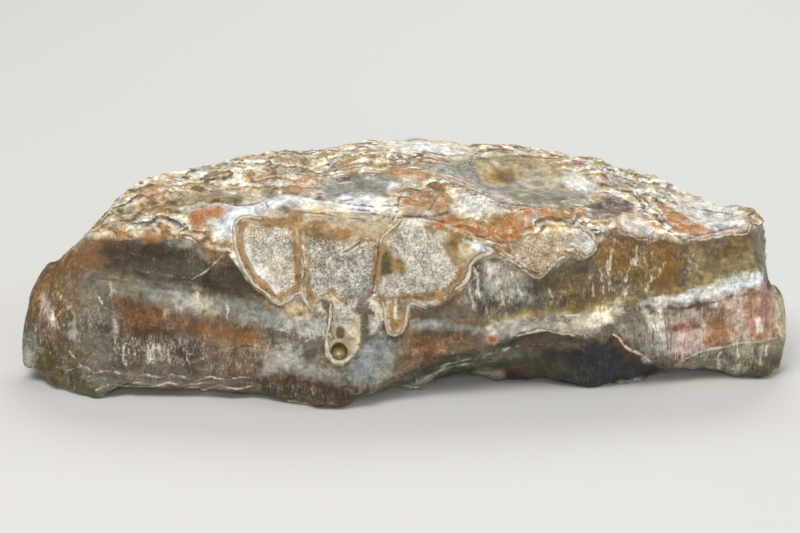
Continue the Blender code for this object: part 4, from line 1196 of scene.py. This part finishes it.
def make_stone():
    mesh = fine_mesh()
    places, normals = read_vectors(mesh.vertices, "co"), read_vectors(mesh.vertex_normals, "vector")
    # The same patches twice, a little apart: the material feathers one into the other
    marks, others = Markings(places, normals, -LIFT), Markings(places, normals, LIFT)
    rind, top = paint(marks)
    paint(others)
    kept = {**weights(marks, top), "fold": fold_field(places)}
    for name, strokes in STROKES.items():
        kept[name] = marks.stroke_field(strokes)
    places = places + normals * (small_relief(marks, rind, top, kept) * MM)[:, None]
    places[:, 2] = np.maximum(places[:, 2], 0)
    mesh.vertices.foreach_set("co", places.ravel())
    mesh.update()

    for name, values in kept.items():
        keep(mesh, name, values)
    keep(mesh, "bedding", bedding(places), "FLOAT_VECTOR", "vector")
    for name, tint in (("tint", marks.tint), ("other_tint", others.tint)):
        full = np.column_stack([np.clip(tint, 0, 1), np.ones(len(tint))])
        keep(mesh, name, full, "FLOAT_COLOR", "color")
    mesh.shade_smooth()
    stone = fresh_object("agate_stone", mesh)
    mesh.materials.clear()
    mesh.materials.append(stone_material())
    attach(stone, "root")
    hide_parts("agate")


# The material


class Nodes:
    """A short way to write a material's nodes."""

    def __init__(self, material):
        material.use_nodes = True
        self.tree = material.node_tree
        self.shader = self.tree.nodes["Principled BSDF"]

    def add(self, kind, inputs=(), **settings):
        node = self.tree.nodes.new(kind)
        for name, value in settings.items():
            setattr(node, name, value)
        for socket, value in dict(inputs).items():
            self.feed(node.inputs[socket], value)
        return node

    def feed(self, socket, value):
        if isinstance(value, bpy.types.NodeSocket):
            self.tree.links.new(value, socket)
        else:
            socket.default_value = value

    def attribute(self, name, output="Fac"):
        return self.add("ShaderNodeAttribute", attribute_name=name).outputs[output]

    def maths(self, operation, a, b=0.0):
        return self.add("ShaderNodeMath", {0: a, 1: b}, operation=operation).outputs[0]

    def times(self, value, *others):
        for other in others:
            value = self.maths("MULTIPLY", value, other)
        return value

    def plus(self, value, *others):
        for other in others:
            value = self.maths("ADD", value, other)
        return value

    def swing(self, value, middle, width):
        """How far a value lies from its middle, widened."""
        return self.times(self.maths("SUBTRACT", value, middle), width)

    def rest(self, value, share=1.0):
        """What is left of 1 after that share of a value."""
        return self.maths("SUBTRACT", 1.0, self.times(value, share))

    def between(self, value, start, full):
        """0 at the start and 1 where it is full, smoothly."""
        settings = {"Value": value, "From Min": start, "From Max": full}
        return self.add("ShaderNodeMapRange", settings, interpolation_type="SMOOTHSTEP").outputs[0]

    def mix(self, weight, a, b):
        # This node has sockets of several kinds under one name, so those of the colours go by number
        node = self.add("ShaderNodeMix", {0: weight, 6: a, 7: b}, data_type="RGBA")
        return node.outputs[2]

    def brightened(self, colour, value, saturation=1.0):
        settings = {"Color": colour, "Value": value, "Saturation": saturation}
        return self.add("ShaderNodeHueSaturation", settings).outputs[0]

    def noise(self, name):
        """The noise of that name, from 0 to 1."""
        if name in NOISES:
            place = self.add("ShaderNodeTexCoord").outputs["Object"]
            size, stretch, detail, roughness, distortion = NOISES[name]
        else:
            place = self.attribute("bedding", "Vector")
            size, stretch, detail, roughness, distortion = BEDDED_NOISES[name]
        scale = [1 / s for s in stretch]
        place = self.add("ShaderNodeMapping", {"Vector": place, "Scale": scale}).outputs[0]
        settings = {"Vector": place, "Scale": 1 / (size * MM), "Detail": detail, "Roughness": roughness,
                    "Distortion": distortion}
        return self.add("ShaderNodeTexNoise", settings).outputs["Fac"]

    def mask(self, name):
        return self.between(self.noise(name), *MASKS[name])

    def cover(self, below, name, value, *masks, over=None):
        """Lays one of the covers over a colour, by a value and where the masks let it."""
        colour, strength, start, full = COVERS[name]
        weight = self.times(self.between(value, start, full), *masks, strength)
        return self.mix(weight, below, rgba(colour) if over is None else over)

    def ramp(self, value, stops):
        node = self.add("ShaderNodeValToRGB", {"Fac": value})
        elements = node.color_ramp.elements
        while len(elements) < len(stops):
            elements.new(0.5)
        for element, (position, colour) in zip(elements, stops):
            element.position = position
            element.color = rgba(colour)
        return node.outputs["Color"]


def rind_look(n, colour, layered):
    """Wavy layers of the rind with fine seams, clots of white crust, dark hollows and ochre stains."""
    fold = n.plus(n.attribute("fold"), n.times(n.noise("fold ripple"), FOLD_RIPPLE))
    layers = n.ramp(n.maths("FRACT", n.times(fold, LAYER_TURNS)), LAYER_STOPS)
    colour = n.cover(colour, "layers", n.noise("layers"), layered, over=layers)
    turn = n.maths("FRACT", n.times(fold, SEAM_TURNS))
    seam = n.maths("ABSOLUTE", n.maths("SUBTRACT", turn, 0.5))
    colour = n.cover(colour, "seams", seam, n.mask("seam stretches"), layered)
    clots = n.noise("clots")
    clusters = n.times(n.mask("clusters"), layered)
    colour = n.cover(colour, "crust", clots, clusters)
    colour = n.cover(colour, "hollows", clots, clusters)
    return n.cover(colour, "stains", n.noise("stains"), layered)


def band_look(n, colour, busy, feather):
    """Upright fibres, flecks, level lines and wispy streaks in the bands."""
    colour = n.cover(colour, "fibres", n.noise("fibres"), n.mask("tufts"), busy)
    bunches = n.plus(LEAST_BUNCHED, n.mask("bunches"))
    colour = n.cover(colour, "flecks", n.noise("flecks"), n.attribute("flecked"), bunches)
    colour = n.cover(colour, "shades", n.noise("shades"), busy)
    levels = n.noise("levels")
    colour = n.cover(colour, "pale levels", levels, busy)
    colour = n.cover(colour, "deep levels", levels, busy)
    streak = n.plus(n.attribute("streak"), n.swing(feather, 0.5, STREAK_FEATHER))
    return n.cover(colour, "streaks", streak)


def grain_look(n, colour, specked, grain, speckle):
    """The sugary grain of the tubes, the fine speckle of all the rest, and clouds of light and dark."""
    sugar = n.attribute("sugar")
    curl = n.maths("ABSOLUTE", n.maths("SUBTRACT", n.noise("curls"), 0.5))
    colour = n.cover(colour, "crystals", curl, sugar)
    colour = n.cover(colour, "crystal gaps", curl, sugar)
    colour = n.cover(colour, "crystal pits", grain, sugar)
    colour = n.cover(colour, "dark specks", speckle, specked)
    # Pale specks, partly the stone's own flecks and partly painted glints
    colour = n.cover(colour, "pale specks and glints", speckle, specked)
    least, more = CLOUD_LIGHT
    return n.brightened(colour, n.plus(least, n.times(n.mask("clouds"), more)))


def rust_look(n, colour):
    """Rust, scattered where its patches are over a soft stain: orange outside, dark red inside."""
    rust = n.attribute("rust")
    colour = n.mix(n.times(rust, RUST_STAIN), colour, rgba("copper"))
    scatter = n.plus(rust, n.times(n.noise("scattered rust"), RUST_SCATTER))
    depth = n.plus(scatter, n.times(n.noise("deep rust"), RUST_SCATTER))
    rusty = n.ramp(n.between(depth, *RUST_DEPTHS), RUST_STOPS)
    return n.cover(colour, "rust", scatter, over=rusty)


def stroke_look(n, colour):
    """The crisp walls and rims of the tubes, and pale threads and dark cracks."""
    shake = n.swing(n.noise("shaky edges"), *EDGE_SHAKE)
    swell = n.swing(n.noise("swollen edges"), *EDGE_SWELL)
    wall = n.plus(n.attribute("wall"), shake, n.times(swell, WALL_SWELL))
    browns = n.ramp(n.noise("browns"), WALL_STOPS)
    colour = n.cover(colour, "walls", wall, over=browns)
    rim = n.plus(n.attribute("rim"), shake, n.times(swell, RIM_SWELL))
    colour = n.cover(colour, "rim shadows", rim)
    pales = n.mix(n.mask("pales"), rgba("cream"), rgba("bone"))
    colour = n.cover(colour, "rims", rim, over=pales)
    colour = n.cover(colour, "threads", n.plus(n.attribute("thread"), shake, swell))
    return n.cover(colour, "cracks", n.plus(n.attribute("crack"), shake, swell))


def stone_material():
    material = bpy.data.materials.new("banded_stone")
    n = Nodes(material)
    layered, banded = n.attribute("layered"), n.attribute("banded")
    lively = n.rest(n.attribute("calm"), CALMING)
    grain, speckle = n.noise("grain"), n.noise("speckle")

    # The two sets of patches, feathered into each other along upright fibres
    feather = n.plus(n.times(n.noise("upright"), banded), n.times(n.noise("crumbs"), n.rest(banded)))
    share = n.plus(0.5, n.swing(n.between(feather, *FEATHER_EDGES), 0.5, lively))
    colour = n.mix(share, n.attribute("tint", "Color"), n.attribute("other_tint", "Color"))

    colour = rind_look(n, colour, layered)
    colour = band_look(n, colour, n.times(banded, lively), feather)
    colour = grain_look(n, colour, n.times(lively, n.rest(banded, UNSPECKED)), grain, speckle)

    # More contrast, most of all on the rind
    deeper = n.plus(DEPTH, n.times(layered, RIND_DEPTH))
    colour = n.add("ShaderNodeGamma", {"Color": colour, "Gamma": deeper}).outputs[0]
    brighter = n.plus(BRIGHTNESS, n.times(layered, RIND_BRIGHTNESS))
    colour = n.brightened(colour, brighter, SATURATION)
    colour = stroke_look(n, rust_look(n, colour))

    roughness = n.maths("SUBTRACT", MATT, n.times(banded, BANDED_SHINE))
    roughness = n.plus(roughness, n.swing(speckle, *SPECKLE_SHINE))
    height = n.plus(n.times(grain, BUMP_GRAIN), n.times(speckle, BUMP_SPECKLE))
    height = n.times(height, n.rest(banded, BANDED_SMOOTHNESS))
    bump = n.add("ShaderNodeBump", {"Strength": BUMP_STRENGTH, "Distance": BUMP_HEIGHT, "Height": height})
    surface = {
        "Base Color": colour,
        "Roughness": roughness,
        "Normal": bump.outputs[0],
        "Subsurface Weight": GLOW,
        "Subsurface Radius": GLOW_REACH,
        "Subsurface Scale": GLOW_DEPTH,
    }
    for socket, value in surface.items():
        n.feed(n.shader.inputs[socket], value)
    return material


# The studio


def make_floor():
    mesh = bpy.data.meshes.new("floor")
    far = FLOOR_REACH
    corners = [(-far, -far, 0), (far, -far, 0), (far, far, 0), (-far, far, 0)]
    mesh.from_pydata(corners, [], [(0, 1, 2, 3)])
    material = bpy.data.materials.new("floor")
    shader = Nodes(material).shader
    shader.inputs["Base Color"].default_value = FLOOR_COLOUR
    shader.inputs["Roughness"].default_value = FLOOR_ROUGHNESS
    mesh.materials.append(material)
    floor = fresh_object("floor", mesh)
    floor.location.z = -FLOOR_DROP


def make_light(name, place, size, power, colour):
    lamp = bpy.data.lights.new(name, "AREA")
    lamp.shape = "RECTANGLE"
    lamp.size, lamp.size_y = size
    lamp.energy = power
    lamp.color = colour
    light = fresh_object(name, lamp)
    light.location = place
    aim = Vector(LIGHTS_AIM) - Vector(place)
    light.rotation_euler = aim.to_track_quat("-Z", "Y").to_euler()


def make_studio():
    make_floor()
    for name, place, size, power, colour in LIGHTS:
        make_light(name, place, size, power, colour)
    world = bpy.data.worlds.new("studio")
    bpy.context.scene.world = world
    world.use_nodes = True
    background = world.node_tree.nodes["Background"]
    background.inputs["Color"].default_value = (*WHITE, 1.0)
    background.inputs["Strength"].default_value = SKY_STRENGTH
    bpy.context.scene.view_settings.view_transform = "Standard"


def make_camera():
    right, up, forward = (Vector(axis) for axis in view_axes())
    lens = bpy.data.cameras.new("camera")
    lens.lens = LENS
    lens.sensor_width = SENSOR
    lens.clip_start = NEAREST_SEEN
    camera = fresh_object("camera", lens)
    turn = Matrix((right, up, -forward)).transposed()
    camera.matrix_world = Matrix.Translation(EYE) @ turn.to_4x4()
    bpy.context.scene.camera = camera


make_camera()
make_stone()
make_studio()
